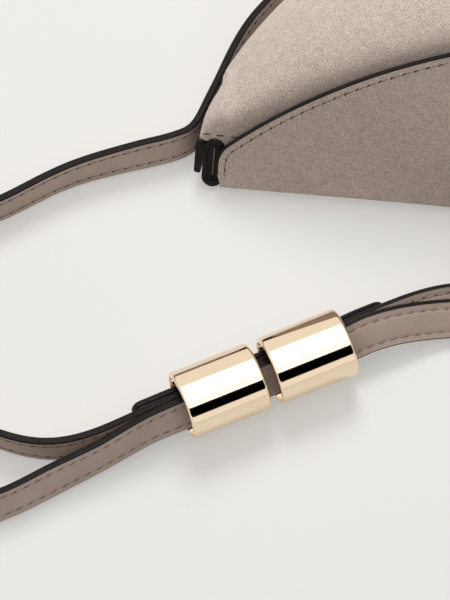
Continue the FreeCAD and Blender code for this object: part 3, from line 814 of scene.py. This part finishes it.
back = outward(sheet_piece("back_panel_suede", back_grid(PANEL, 0), back_grid(TABLE_GAP, 0),
                           [suede, edge_paint], 1))
on_back = PANEL + LINING_GAP
back_inside = outward(sheet_piece("back_lining_cloth",
                                  back_grid(on_back + LINING_SKIN, BACK_LINING_IN),
                                  back_grid(on_back, BACK_LINING_IN), [lining]))

# %% Slip pocket
POCKET_LONG, POCKET_DEEP, POCKET_Y0 = 120.0, 54.0, 22.0
POCKET_SKIN, POCKET_GAPE = 0.9, 0.4
POCKET_Z = on_back + LINING_SKIN + LINING_GAP
pocket_x, pocket_y = np.meshgrid(np.linspace(-0.5, 0.5, 41) * POCKET_LONG,
                                 POCKET_Y0 + np.linspace(0, 1, 21) * POCKET_DEEP, indexing="ij")
gape = POCKET_GAPE * (1 - (2 * pocket_x / POCKET_LONG) ** 2)
open_share = (POCKET_Y0 + POCKET_DEEP - pocket_y) / POCKET_DEEP
pocket_lift = POCKET_Z + gape * open_share ** 2
pocket = outward(sheet_piece("slip_pocket",
                             np.stack([pocket_x, pocket_y, pocket_lift + POCKET_SKIN], axis=2),
                             np.stack([pocket_x, pocket_y, pocket_lift], axis=2),
                             [lining, leather], 1))

# %% [markdown]
# ## The flap
# The back panel folds forward along the straight side and comes up over the mouth as the
# flap. It is one leather, so the flap's suede starts under the bag, goes round the fold and
# ends in the arch. Its rim is painted: a round bead along the whole arch, which is the dark
# line that draws the bag. The fold bows back a little in the middle, as a soft bag's does.

# %% The arch and the foot of the flap
FLAP_SUEDE, FLAP_LINING = 0.95, 0.65
SUEDE_LOW = ROLL_R - FLAP_SUEDE
LINING_LOW = SUEDE_LOW - FLAP_LINING
FOOT_DRAWN, FOOT_HIGH = 0.008, 6.0
SUEDE_FROM, LINING_FROM, LINING_IN = 0.3, 3.4, 0.2
UNDER_BAG = ((9, 0.75), (5, 0.5))      # how far back under the bag, how far below the roll


def rim_height(x, inset=0.0):
    """The height of the flap's arch at x, with its corners rounded."""
    half, radius, corner = FLAP_HALF - inset, ARCH_R - inset, CORNER_R - inset
    centre_x = FLAP_HALF - CORNER_R
    centre_h = FLAP_HIGH - ARCH_R + math.sqrt((ARCH_R - CORNER_R) ** 2 - centre_x ** 2)
    touch = centre_x + corner * centre_x / (ARCH_R - CORNER_R)
    if abs(x) < touch:
        return FLAP_HIGH - ARCH_R + math.sqrt(radius ** 2 - x * x)
    return centre_h + math.sqrt(max(0.0, corner ** 2 - (min(abs(x), half) - centre_x) ** 2))


def flap_columns(inset):
    """Places along the fold, closer together at the rounded corners."""
    half = FLAP_HALF - inset
    corner = np.sin(np.linspace(0, math.pi / 2, 14)) * CORNER_R
    middle = np.linspace(-half + CORNER_R, half - CORNER_R, 121)
    return np.concatenate([-half + CORNER_R - corner[:0:-1], middle,
                           half - CORNER_R + corner[1:]])


def drawn_in(height):
    """How much narrower the flap gets as it reaches the fold."""
    return 1 - FOOT_DRAWN * max(0.0, 1 - height / FOOT_HIGH) ** 2


print("flap arch %.0f mm up the slope, corners of %.0f mm" % (rim_height(0), CORNER_R))


# %% Flap
def flap_grid(out, low, inset, rows=34):
    """The flap's surface on the slope, at a distance out from it."""
    lines = []
    for x in flap_columns(inset):
        top = rim_height(x, inset)
        lines.append([on_slope(x * drawn_in(h), h, out) for h in np.linspace(low, top, rows)])
    return np.array(lines)


def round_the_fold(x, radius):
    """From under the bag round the fold to the flap's slope."""
    fold_y = on_slope(x, 0, 0)[1]
    x *= drawn_in(0.0)
    under = [(x, fold_y + back, fold[2] - radius - sunk) for back, sunk in UNDER_BAG]
    arc = [(x, fold_y + radius * math.cos(a), fold[2] + radius * math.sin(a))
           for a in np.radians(np.linspace(270, 155, 12))]
    return under + arc


def flap_suede_grid(radius):
    """The flap's leather in one: under the bag, round the fold and up to the arch."""
    on_the_slope = flap_grid(radius, SUEDE_FROM, 0)
    return np.array([np.concatenate([round_the_fold(x, radius), line])
                     for x, line in zip(flap_columns(0), on_the_slope)])


flap = outward(sheet_piece("flap_suede", flap_suede_grid(ROLL_R), flap_suede_grid(SUEDE_LOW),
                           [suede, edge_paint], 1))
flap_inside = outward(sheet_piece("flap_lining_suede",
                                  flap_grid(SUEDE_LOW, LINING_FROM, LINING_IN),
                                  flap_grid(LINING_LOW, LINING_FROM, LINING_IN),
                                  [lining, edge_paint], 1))

# %% Painted bead along the flap
RIM_LOW = 3.3            # how far up the slope the bead and the stitches start
BEAD = [(-0.3, -0.82), (0.05, -0.82), (0.22, -0.68), (0.32, -0.38), (0.35, 0.0), (0.32, 0.38),
        (0.22, 0.68), (0.05, 0.84), (-0.3, 0.84)]


def flap_rim(inset, step):
    """The flap's rim as places along the fold and heights, a step apart, from end to end."""
    columns = flap_columns(inset)
    end = FLAP_HALF - inset
    half_way = 0.5 * (RIM_LOW + rim_height(end, inset))
    xs = np.concatenate([[-end] * 2, columns, [end] * 2])
    hs = np.array([RIM_LOW, half_way, *(rim_height(x, inset) for x in columns),
                   half_way, RIM_LOW])
    run = np.concatenate([[0], np.cumsum(np.hypot(np.diff(xs), np.diff(hs)))])
    marks = np.linspace(0, run[-1], round(run[-1] / step) + 1)
    return np.interp(marks, run, xs), np.interp(marks, run, hs)


rim_x, rim_h = flap_rim(0.0, 1.5)
way = np.stack([np.gradient(rim_x), np.gradient(rim_h)], axis=1)
way /= np.linalg.norm(way, axis=1)[:, None]
bead_out = (LINING_LOW + ROLL_R) / 2
bead_rings = [[on_slope((x - dh * n) * drawn_in(h), h + dx * n, bead_out + o) for n, o in BEAD]
              for x, h, (dx, dh) in zip(rim_x, rim_h, way)]
flap_edge = outward(band_piece("flap_painted_edge", np.array(bead_rings), [edge_paint]))

# %% [markdown]
# ## The folded ends of the mouth, and the strap's tabs
# At each end of the mouth a strip of leather is folded into a narrow oval, so the bag can
# open and nothing falls out. Its cut edge is painted, and inside the oval the leather lies
# folded together as two dark leaves with a pale raw edge between them. Outside it a short
# tab, painted all over, takes the load of the strap. They follow plain rules: an oval that
# narrows as it goes back, and a band along a short curve.

# %% Gussets
GUSSET_X0, GUSSET_WIDE, GUSSET_END, GUSSET_DEEP = 133.9, 6.4, 2.9, 19.0
GUSSET_TALL, GUSSET_WALL, GUSSET_Z, GUSSET_LEAST = 14.6, 1.3, 1.6, 0.3
LEAF_DEEP = 4.0
LEAVES = (          # middle, width, height, foot, how far in, and its place in the finishes
    (GUSSET_X0 + 2.1, 1.9, GUSSET_TALL - 2.9, GUSSET_Z + 1.4, 0.7, 0),
    (GUSSET_X0 + 4.2, 2.0, GUSSET_TALL - 2.7, GUSSET_Z + 1.3, 0.4, 0),
    (GUSSET_X0 + 3.15, 0.2, GUSSET_TALL - 6.2, GUSSET_Z + 3.6, 0.2, 1))


def mouth_plane_y(z):
    """Where the mouth's slope lies at a height."""
    return fold[1] + (z - fold[2]) * math.tan(LEAN)


def oval_ring(wide, tall, middle_x, low_z, count):
    """An upright oval as places across and heights."""
    radius = wide / 2
    spots = []
    for t in np.linspace(-math.pi, math.pi, count):
        lift = tall - wide if math.cos(t) >= 0 else 0.0
        spots.append((middle_x + radius * math.sin(t), low_z + radius * (1 + math.cos(t)) + lift))
    return spots


def gusset(name, side):
    """The folded leather, open in the middle, with its front cut to the mouth's slope."""
    grids = []
    for inset in (0.0, GUSSET_WALL):
        lines = []
        for share in np.linspace(0, 1, 9):
            wide = GUSSET_WIDE + (GUSSET_END - GUSSET_WIDE) * share
            ring = oval_ring(max(wide - 2 * inset, GUSSET_LEAST), GUSSET_TALL - 2 * inset,
                             GUSSET_X0 + wide / 2, GUSSET_Z + inset, 49)
            lines.append([(side * x, mouth_plane_y(z) * (1 - share) + GUSSET_DEEP * share, z)
                          for x, z in ring])
        grids.append(np.array(lines).transpose(1, 0, 2))
    return outward(sheet_piece(name, *grids, [edge_paint]))


def gusset_leaves(name, side):
    """The leather folded together inside the oval: two dark leaves and a raw pale edge."""
    points, faces, slots = [], [], []
    for middle, wide, tall, low, inward, slot_at in LEAVES:
        ring = oval_ring(wide, tall, middle, low, 25)[:-1]
        start, count = len(points), len(ring)
        for deep in (inward, LEAF_DEEP):
            points += [(side * x, mouth_plane_y(z) + deep, z) for x, z in ring]
        faces.append([start + k for k in range(count)])
        faces.append([start + count + k for k in range(count)][::-1])
        for k in range(count):
            following = (k + 1) % count
            faces.append([start + following, start + k, start + count + k,
                          start + count + following])
        slots += [slot_at] * (count + 2)
    return outward(piece(name, points, faces, [edge_paint, thread], slots))


leaves = [gusset_leaves("gusset_%s_leaves" % label, side) for label, side in SIDES]
gussets = [gusset("gusset_%s_folded" % label, side) for label, side in SIDES]

# %% Tabs
TAB_THICK, TAB_TALL, TAB_Z = 2.1, 10.0, 5.5
TAB_LINE = [(8.1, 2.0), (7.3, 10.0), (4.9, 18.5), (3.0, 27.0), (0.0, 34.0), (-3.6, 40.0)]
TAB_WAY_IN, TAB_WAY_OUT, TAB_STEP = (-0.1, 1, 0), (-0.3, 0.95, 0), 1.2
TAB_LOWER, TAB_LOWER_FROM, TAB_LOWER_OVER = 0.22, 18.0, 18.0
TAB_CUT_OVER = 12.0      # the tab's front end is cut to the mouth's slope over this length
half, tall = TAB_THICK / 2, TAB_TALL / 2
tab_section = [(half - 0.6, -tall), (half - 0.2, -tall + 0.12), (half, -tall + 0.6),
               (half, -tall + 1.0), (half, 0), (half, tall - 1.0), (half, tall - 0.6),
               (half - 0.2, tall - 0.12), (half - 0.6, tall)]
tab_section += [(-a, -b) for a, b in tab_section]


def tab(name, side):
    """A painted band along the outside of the gusset, lower towards its back end."""
    route = [(HALF_LONG + past, y, 0, 0) for past, y in TAB_LINE]
    middle, heading = smooth_line(route, TAB_WAY_IN, TAB_WAY_OUT, TAB_STEP)[:2]
    heading /= np.linalg.norm(heading, axis=1)[:, None]
    across = np.stack([heading[:, 1], -heading[:, 0], 0 * heading[:, 2]], axis=1)
    front_y = middle[0, 1]
    rings = []
    for spot, sideways in zip(middle, across):
        lower = TAB_LOWER * min(max((spot[1] - TAB_LOWER_FROM) / TAB_LOWER_OVER, 0.0), 1.0)
        share = max(0.0, 1 - (spot[1] - front_y) / TAB_CUT_OVER)
        ring = []
        for a, b in tab_section:
            x, y = (spot + sideways * a)[:2]
            z = TAB_Z + (tall + b) * (1 - lower)
            ring.append((side * x, y + max(0.0, mouth_plane_y(z) - front_y) * share, z))
        rings.append(ring)
    return outward(band_piece(name, np.array(rings), [edge_paint]))


tabs = [tab("strap_tab_%s_sewn" % label, side) for label, side in SIDES]

# %% [markdown]
# ## Stitches
# Saddle stitches repeat at one pitch along a line, which is what Geometry Nodes are for. The
# input is a bare line that knows, at each point, which way the leather faces there. The tree cuts
# it at the pitch, lays a small thread on each cut, turned a little as an awl turns it, and
# ends in plain mesh. A second run, starting half a pitch in and using a near-black finish, paints
# the shade in the holes that the thread goes into. The short row along each hood is sunk in the
# nap, so it is drawn in that painted shade alone.


# %% The stitch tree
def stitch_tree():
    """A line with a facing at each point becomes a row of short slanted threads."""
    tree = bpy.data.node_groups.new("stitch_row", "GeometryNodeTree")
    face = tree.interface
    face.new_socket("Geometry", in_out="INPUT", socket_type="NodeSocketGeometry")
    for label, value in (("Pitch", 0.0037), ("Start", 0.0), ("Long", 0.0027),
                         ("Wide", 0.00045), ("Thick", 0.0003), ("Slant", 0.15)):
        socket = face.new_socket(label, in_out="INPUT", socket_type="NodeSocketFloat")
        socket.default_value = value
    face.new_socket("Finish", in_out="INPUT", socket_type="NodeSocketMaterial")
    face.new_socket("Geometry", in_out="OUTPUT", socket_type="NodeSocketGeometry")
    new, links = tree.nodes.new, tree.links
    given, result = new("NodeGroupInput"), new("NodeGroupOutput")
    curve, trim = new("GeometryNodeMeshToCurve"), new("GeometryNodeTrimCurve")
    trim.mode = "LENGTH"
    trim.inputs[5].default_value = 10.0      # the end, in metres: longer than any row
    cut = new("GeometryNodeResampleCurve")
    cut.mode = "LENGTH"
    facing = new("GeometryNodeInputNamedAttribute")
    facing.data_type = "FLOAT_VECTOR"
    facing.inputs["Name"].default_value = "facing"
    along = new("GeometryNodeInputTangent")
    lie, lift, slant = (new("FunctionNodeAlignRotationToVector"),
                        new("FunctionNodeAlignRotationToVector"), new("FunctionNodeRotateRotation"))
    lie.axis, lift.axis, lift.pivot_axis = "X", "Z", "X"
    slant.rotation_space = "LOCAL"
    twist = new("FunctionNodeAxisAngleToRotation")
    thread_shape = new("GeometryNodeMeshUVSphere")
    thread_shape.inputs["Segments"].default_value = 8
    thread_shape.inputs["Rings"].default_value = 5
    thread_shape.inputs["Radius"].default_value = 0.5
    size = new("ShaderNodeCombineXYZ")
    lay = new("GeometryNodeInstanceOnPoints")
    real, smooth, paint = (new("GeometryNodeRealizeInstances"), new("GeometryNodeSetShadeSmooth"),
                           new("GeometryNodeSetMaterial"))
    for a, b in (
            (given.outputs["Geometry"], curve.inputs["Mesh"]),
            (curve.outputs["Curve"], trim.inputs["Curve"]),
            (given.outputs["Start"], trim.inputs[4]),     # the start, in metres
            (trim.outputs["Curve"], cut.inputs["Curve"]),
            (given.outputs["Pitch"], cut.inputs["Length"]),
            (along.outputs["Tangent"], lie.inputs["Vector"]),
            (lie.outputs["Rotation"], lift.inputs["Rotation"]),
            (facing.outputs["Attribute"], lift.inputs["Vector"]),
            (given.outputs["Slant"], twist.inputs["Angle"]),
            (lift.outputs["Rotation"], slant.inputs["Rotation"]),
            (twist.outputs["Rotation"], slant.inputs["Rotate By"]),
            (given.outputs["Long"], size.inputs["X"]),
            (given.outputs["Wide"], size.inputs["Y"]),
            (given.outputs["Thick"], size.inputs["Z"]),
            (cut.outputs["Curve"], lay.inputs["Points"]),
            (thread_shape.outputs["Mesh"], lay.inputs["Instance"]),
            (slant.outputs["Rotation"], lay.inputs["Rotation"]),
            (size.outputs["Vector"], lay.inputs["Scale"]),
            (lay.outputs["Instances"], real.inputs["Geometry"]),
            (real.outputs["Geometry"], smooth.inputs["Geometry"]),
            (smooth.outputs["Geometry"], paint.inputs["Geometry"]),
            (given.outputs["Finish"], paint.inputs["Material"]),
            (paint.outputs["Geometry"], result.inputs["Geometry"])):
        links.new(a, b)
    print("stitch tree of", len(tree.nodes), "nodes")
    return tree


stitch_row = stitch_tree()


# %% Sewing a row
def row_line(name, rows):
    """Bare lines of points that know which way the leather faces there."""
    spots, edges, facings = [], [], []
    for line, faces in rows:
        start = len(spots)
        spots += [tuple(p) for p in to_frame(line)]
        facings += list(faces)
        edges += [(start + i, start + i + 1) for i in range(len(line) - 1)]
    mesh = bpy.data.meshes.new(name)
    mesh.from_pydata(spots, edges, [])
    attribute = mesh.attributes.new("facing", "FLOAT_VECTOR", "POINT")
    attribute.data.foreach_set("vector", np.array(facings, np.float32).ravel())
    obj = bpy.data.objects.new(name, mesh)
    bpy.context.collection.objects.link(obj)
    return obj


def sew(name, rows, material, **sizes):
    """Runs the stitch tree along the lines and keeps the result as a plain mesh."""
    lines = row_line(name + "_line", rows)
    modifier = lines.modifiers.new("stitches", "NODES")
    modifier.node_group = stitch_row
    for item in stitch_row.interface.items_tree:
        if item.in_out == "INPUT" and item.name in sizes:
            modifier[item.identifier] = sizes[item.name]
        if item.in_out == "INPUT" and item.name == "Finish":
            modifier[item.identifier] = material
    lines.update_tag()
    bpy.context.view_layer.update()
    seen = lines.evaluated_get(bpy.context.evaluated_depsgraph_get())
    mesh = bpy.data.meshes.new_from_object(seen)
    bpy.data.objects.remove(lines)
    obj = bpy.data.objects.new(name, mesh)
    if not mesh.materials:
        mesh.materials.append(material)
    bpy.context.collection.objects.link(obj)
    print(name, len(mesh.polygons), "faces of stitching")
    return obj


# %% Stitches on the strap
PITCH = 0.0037           # as in all that the stitch tree is given, metres
ROW_SUNK = 0.10


def strap_rows(frames):
    """Four rows on a strap: two on each face."""
    middle, across, up = frames[:3]
    rows = []
    for face in (1, -1):
        for height in (ROW_AT, -ROW_AT):
            line = middle + across * face * (STRAP_THICK / 2 - ROW_SUNK) + up * height
            rows.append((line, across * face))
    return rows


stitched = []
for label, frames in (("left", left_frames), ("right", right_frames)):
    rows = strap_rows(frames)
    stitched.append(sew("stitches_strap_" + label, rows, thread, Pitch=PITCH,
                        Long=0.0028, Wide=0.00055, Thick=0.00034, Slant=0.12))
    # Dark marks of painted shade in the strap's needle holes.
    stitched.append(sew("hole_shade_strap_" + label, rows, stitch_shade, Pitch=PITCH,
                        Start=PITCH / 2, Long=0.0014, Wide=0.00036, Thick=0.0004, Slant=0.4))

# %% Stitches on the flap and along the front panel's hem
FLAP_ROW_IN = 2.3
HEM_FROM_X, HEM_SHORT, HEM_ROW_UP = 131.5, 2.0, 3.0
row_x, row_h = flap_rim(FLAP_ROW_IN, 1.2)
flap_line = np.array([on_slope(x, h, ROLL_R - 0.02) for x, h in zip(row_x, row_h)])
flap_rows = [(flap_line, [slope_out] * len(flap_line))]
stitches_flap = sew("stitches_flap", flap_rows, thread, Pitch=PITCH, Long=0.0029,
                    Wide=0.00055, Thick=0.0003, Slant=0.1)
# Dark marks of painted shade in the flap's needle holes.
hole_shade_flap = sew("hole_shade_flap", flap_rows, stitch_shade, Pitch=PITCH, Start=PITCH / 2,
                 Long=0.0017, Wide=0.00055, Thick=0.0004, Slant=0.35)

# The hem's short row is drawn in the near-black finish alone: painted shade of stitches sunk in the
# nap.
hem_rows = []
for side in (-1, 1):
    hem_x = np.linspace(HEM_FROM_X, HALF_LONG + HOOD - HEM_SHORT, 12) * side
    hem_line = np.array([on_slope(x, HEM_H + HEM_ROW_UP, FACE_OUT + 0.05) for x in hem_x])
    hem_rows.append((hem_line, [slope_out] * len(hem_line)))
hem_stitches_in_shade = sew("hem_stitches_in_shade", hem_rows, stitch_shade, Pitch=0.0034, Long=0.0026,
                   Wide=0.0005, Thick=0.0004, Slant=0.1)

# %% [markdown]
# ## Who rides on what, and what stands for which solid
# The frame's bodies are the bag, the flap and the two barrels. Everything sewn to the bag
# rides on the bag. The flap's soft pieces cross the hinge; they are only fixed in place where
# they lie, on no body, and the magnets stay where they are, on no body too.

# %% Riding and standing in
REPLACED = (
    (strap_left, "bag", "strap_leather", ("strap_left_inner", "strap_left_outer")),
    (strap_right, "bag", "strap_leather", ("strap_right_inner", "strap_right_outer",
                                           "strap_inner_across", "strap_outer_across")),
    (strap_inner_middle, "bag", "strap_leather", ("strap_inner_run",)),
    (strap_outer_middle, "bag", "strap_leather", ("strap_outer_run",)),
    (keeper, "bag", "strap_leather", ("keeper_strip",)),
    (front, "bag", "suede", ("front_panel",)),
    (front_inside, "bag", "lining", ("front_lining",)),
    (back, "bag", "suede", ("back_panel",)),
    (back_inside, "bag", "lining", ("back_lining",)),
    (pocket, "bag", "lining", ("inner_pocket",)),
    (gussets[0], "bag", "edge_paint", ("gusset_left",)),
    (gussets[1], "bag", "edge_paint", ("gusset_right",)),
    (tabs[0], "bag", "edge_paint", ("strap_tab_left",)),
    (tabs[1], "bag", "edge_paint", ("strap_tab_right",)),
    (barrels[0], "left_barrel", "pale_gold", ("barrel_left",)),
    (barrels[1], "right_barrel", "pale_gold", ("barrel_right",)))
for dressed, body, slot_name, nodes in REPLACED:
    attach(dressed, body)
    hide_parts(*nodes)
for sewn in stitched + [hem_stitches_in_shade] + leaves:
    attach(sewn, "bag")

# %% The flap's pieces, fixed where they lie
for bent, slot_name in ((flap, "suede"), (flap_inside, "lining"), (flap_edge, "edge_paint"),
                        (stitches_flap, "suede"), (hole_shade_flap, "suede")):
    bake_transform(bent)
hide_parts("flap_panel")
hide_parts("flap_lining")

# %% Magnets
for node in ("flap_magnet", "body_magnet", "magnet_washer"):
    metal_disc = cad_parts[node]
    if not metal_disc.material_slots:
        metal_disc.data.materials.append(magnet_metal)
    for finish_slot in metal_disc.material_slots:
        finish_slot.material = magnet_metal
    print(node, "is plain metal")

# %% [markdown]
# ## Floor, softbox and dark side
# A product photograph of this kind is made on a pale sweep with one big softbox overhead.
# The polished barrels show the whole room: a white band for the softbox with a thin line
# for the gap in it, a black band for the dark side of the studio in front, and the pale
# floor below. So the lamps stand where those bands need them, and a dark card, which the
# camera never sees, stands in front. The floor and the room glow more for the camera and in
# reflections than they light the bag, which keeps the paper pale and the shadows soft. A
# round lamp behind, like a window, lights the swell, and is hidden from the metal.

# %% Floor
FLOOR_HALF, FLOOR_Z = 4.0, -0.0003
FLOOR_GLOW = 0.48        # how much of what the camera sees of the floor is glow
SEEN_RAYS = ("Is Camera Ray", "Is Glossy Ray", "Is Transmission Ray")


def seen_share(tree, high, low=0.0):
    """One value for the camera and reflections, and another for all other light."""
    path = tree.nodes.new("ShaderNodeLightPath")
    seen = path.outputs[SEEN_RAYS[0]]
    for kind in SEEN_RAYS[1:]:
        either = tree.nodes.new("ShaderNodeMath")
        either.operation = "MAXIMUM"
        tree.links.new(seen, either.inputs[0])
        tree.links.new(path.outputs[kind], either.inputs[1])
        seen = either.outputs["Value"]
    level = tree.nodes.new("ShaderNodeMapRange")
    level.inputs["To Min"].default_value = low
    level.inputs["To Max"].default_value = high
    tree.links.new(seen, level.inputs["Value"])
    return level.outputs["Result"]


def flat_piece(name, corners, material):
    """One flat four-cornered face in metres, for the studio."""
    mesh = bpy.data.meshes.new(name)
    mesh.from_pydata([tuple(c) for c in corners], [], [(0, 1, 2, 3)])
    mesh.materials.append(material)
    obj = bpy.data.objects.new(name, mesh)
    bpy.context.collection.objects.link(obj)
    print(name, "placed")
    return obj


floor_paint = finish("pale_floor", {
    "Roughness": 0.9, "Base Color": (0.725, 0.72, 0.70, 1), "Specular IOR Level": 0.1})[0]
paper = floor_paint.node_tree
glow = paper.nodes.new("ShaderNodeEmission")
glow.inputs["Color"].default_value = (0.79, 0.775, 0.745, 1)
both = paper.nodes.new("ShaderNodeMixShader")
paper.links.new(seen_share(paper, FLOOR_GLOW), both.inputs["Fac"])
paper.links.new(shader_of(floor_paint).outputs["BSDF"], both.inputs[1])
paper.links.new(glow.outputs["Emission"], both.inputs[2])
paper.links.new(both.outputs["Shader"], paper.nodes["Material Output"].inputs["Surface"])
floor = flat_piece("floor", [(x * FLOOR_HALF, y * FLOOR_HALF, FLOOR_Z)
                             for x, y in ((-1, -1), (1, -1), (1, 1), (-1, 1))], floor_paint)

# %% Softboxes, placed in metres from the middle of the run
LAMP_HIGH, LAMP_WIDE, LAMP_LEVEL = 1.3, 1.7, 1.15
BEHIND_BOX, FRONT_BOX = (-1.10, 0.50), (0.60, 0.93)      # the gap between them is the thin line
run_middle = to_frame([*RUN_MID, 0])


def softbox(name, low, high):
    """An area lamp overhead, from low to high along the run's front direction."""
    data = bpy.data.lights.new(name, "AREA")
    data.shape = "RECTANGLE"
    data.size, data.size_y = LAMP_WIDE, high - low
    data.energy = LAMP_LEVEL * math.pi * LAMP_WIDE * (high - low)
    lamp = bpy.data.objects.new(name, data)
    spot = run_middle + run_front * (low + high) / 2 + RISE * LAMP_HIGH
    axes = Matrix((run_dir, -run_front, RISE)).transposed()
    lamp.matrix_world = Matrix.Translation(spot) @ axes.to_4x4()
    bpy.context.collection.objects.link(lamp)
    print(name, "%.1f W" % data.energy)


softbox("softbox_behind", *BEHIND_BOX)
softbox("softbox_front", *FRONT_BOX)

# %% Window behind
WINDOW_PLACE, WINDOW_FROM_AIM = (-0.30, 1.02, 1.42), (-0.20, 1.02, 1.42)
WINDOW_WIDE, WINDOW_WATTS = 0.8, 24.0
window_data = bpy.data.lights.new("window_behind", "AREA")
window_data.shape = "DISK"
window_data.size, window_data.energy = WINDOW_WIDE, WINDOW_WATTS
window = bpy.data.objects.new("window_behind", window_data)
window.location = WINDOW_PLACE
window.rotation_euler = Vector(WINDOW_FROM_AIM).to_track_quat("Z", "Y").to_euler()
window.visible_glossy = False
bpy.context.collection.objects.link(window)
print("window", "%.1f W" % window_data.energy)

# %% Dark card in front
CARD_AWAY, CARD_HALF, CARD_LOW, CARD_HIGH = 1.0, 1.3, 0.42, 1.45
card_black = finish("card_black", {
    "Roughness": 0.9, "Base Color": (0.0, 0.0, 0.0, 1), "Specular IOR Level": 0.0})[0]
card = flat_piece("dark_card", [
    run_middle + run_front * CARD_AWAY + run_dir * w + RISE * h
    for w, h in ((-CARD_HALF, CARD_LOW), (CARD_HALF, CARD_LOW),
                 (CARD_HALF, CARD_HIGH), (-CARD_HALF, CARD_HIGH))], card_black)
card.visible_camera = False
card.visible_diffuse = False
card.visible_shadow = False

# %% The room
ROOM_LIGHT, ROOM_SEEN = 0.30, 1.15
world = bpy.data.worlds.new("studio")
bpy.context.scene.world = world
world.use_nodes = True
room = world.node_tree.nodes["Background"]
room.inputs["Color"].default_value = (0.84, 0.82, 0.79, 1)
world.node_tree.links.new(seen_share(world.node_tree, ROOM_SEEN, ROOM_LIGHT),
                          room.inputs["Strength"])
print("room lights at", ROOM_LIGHT, "and shows at", ROOM_SEEN)
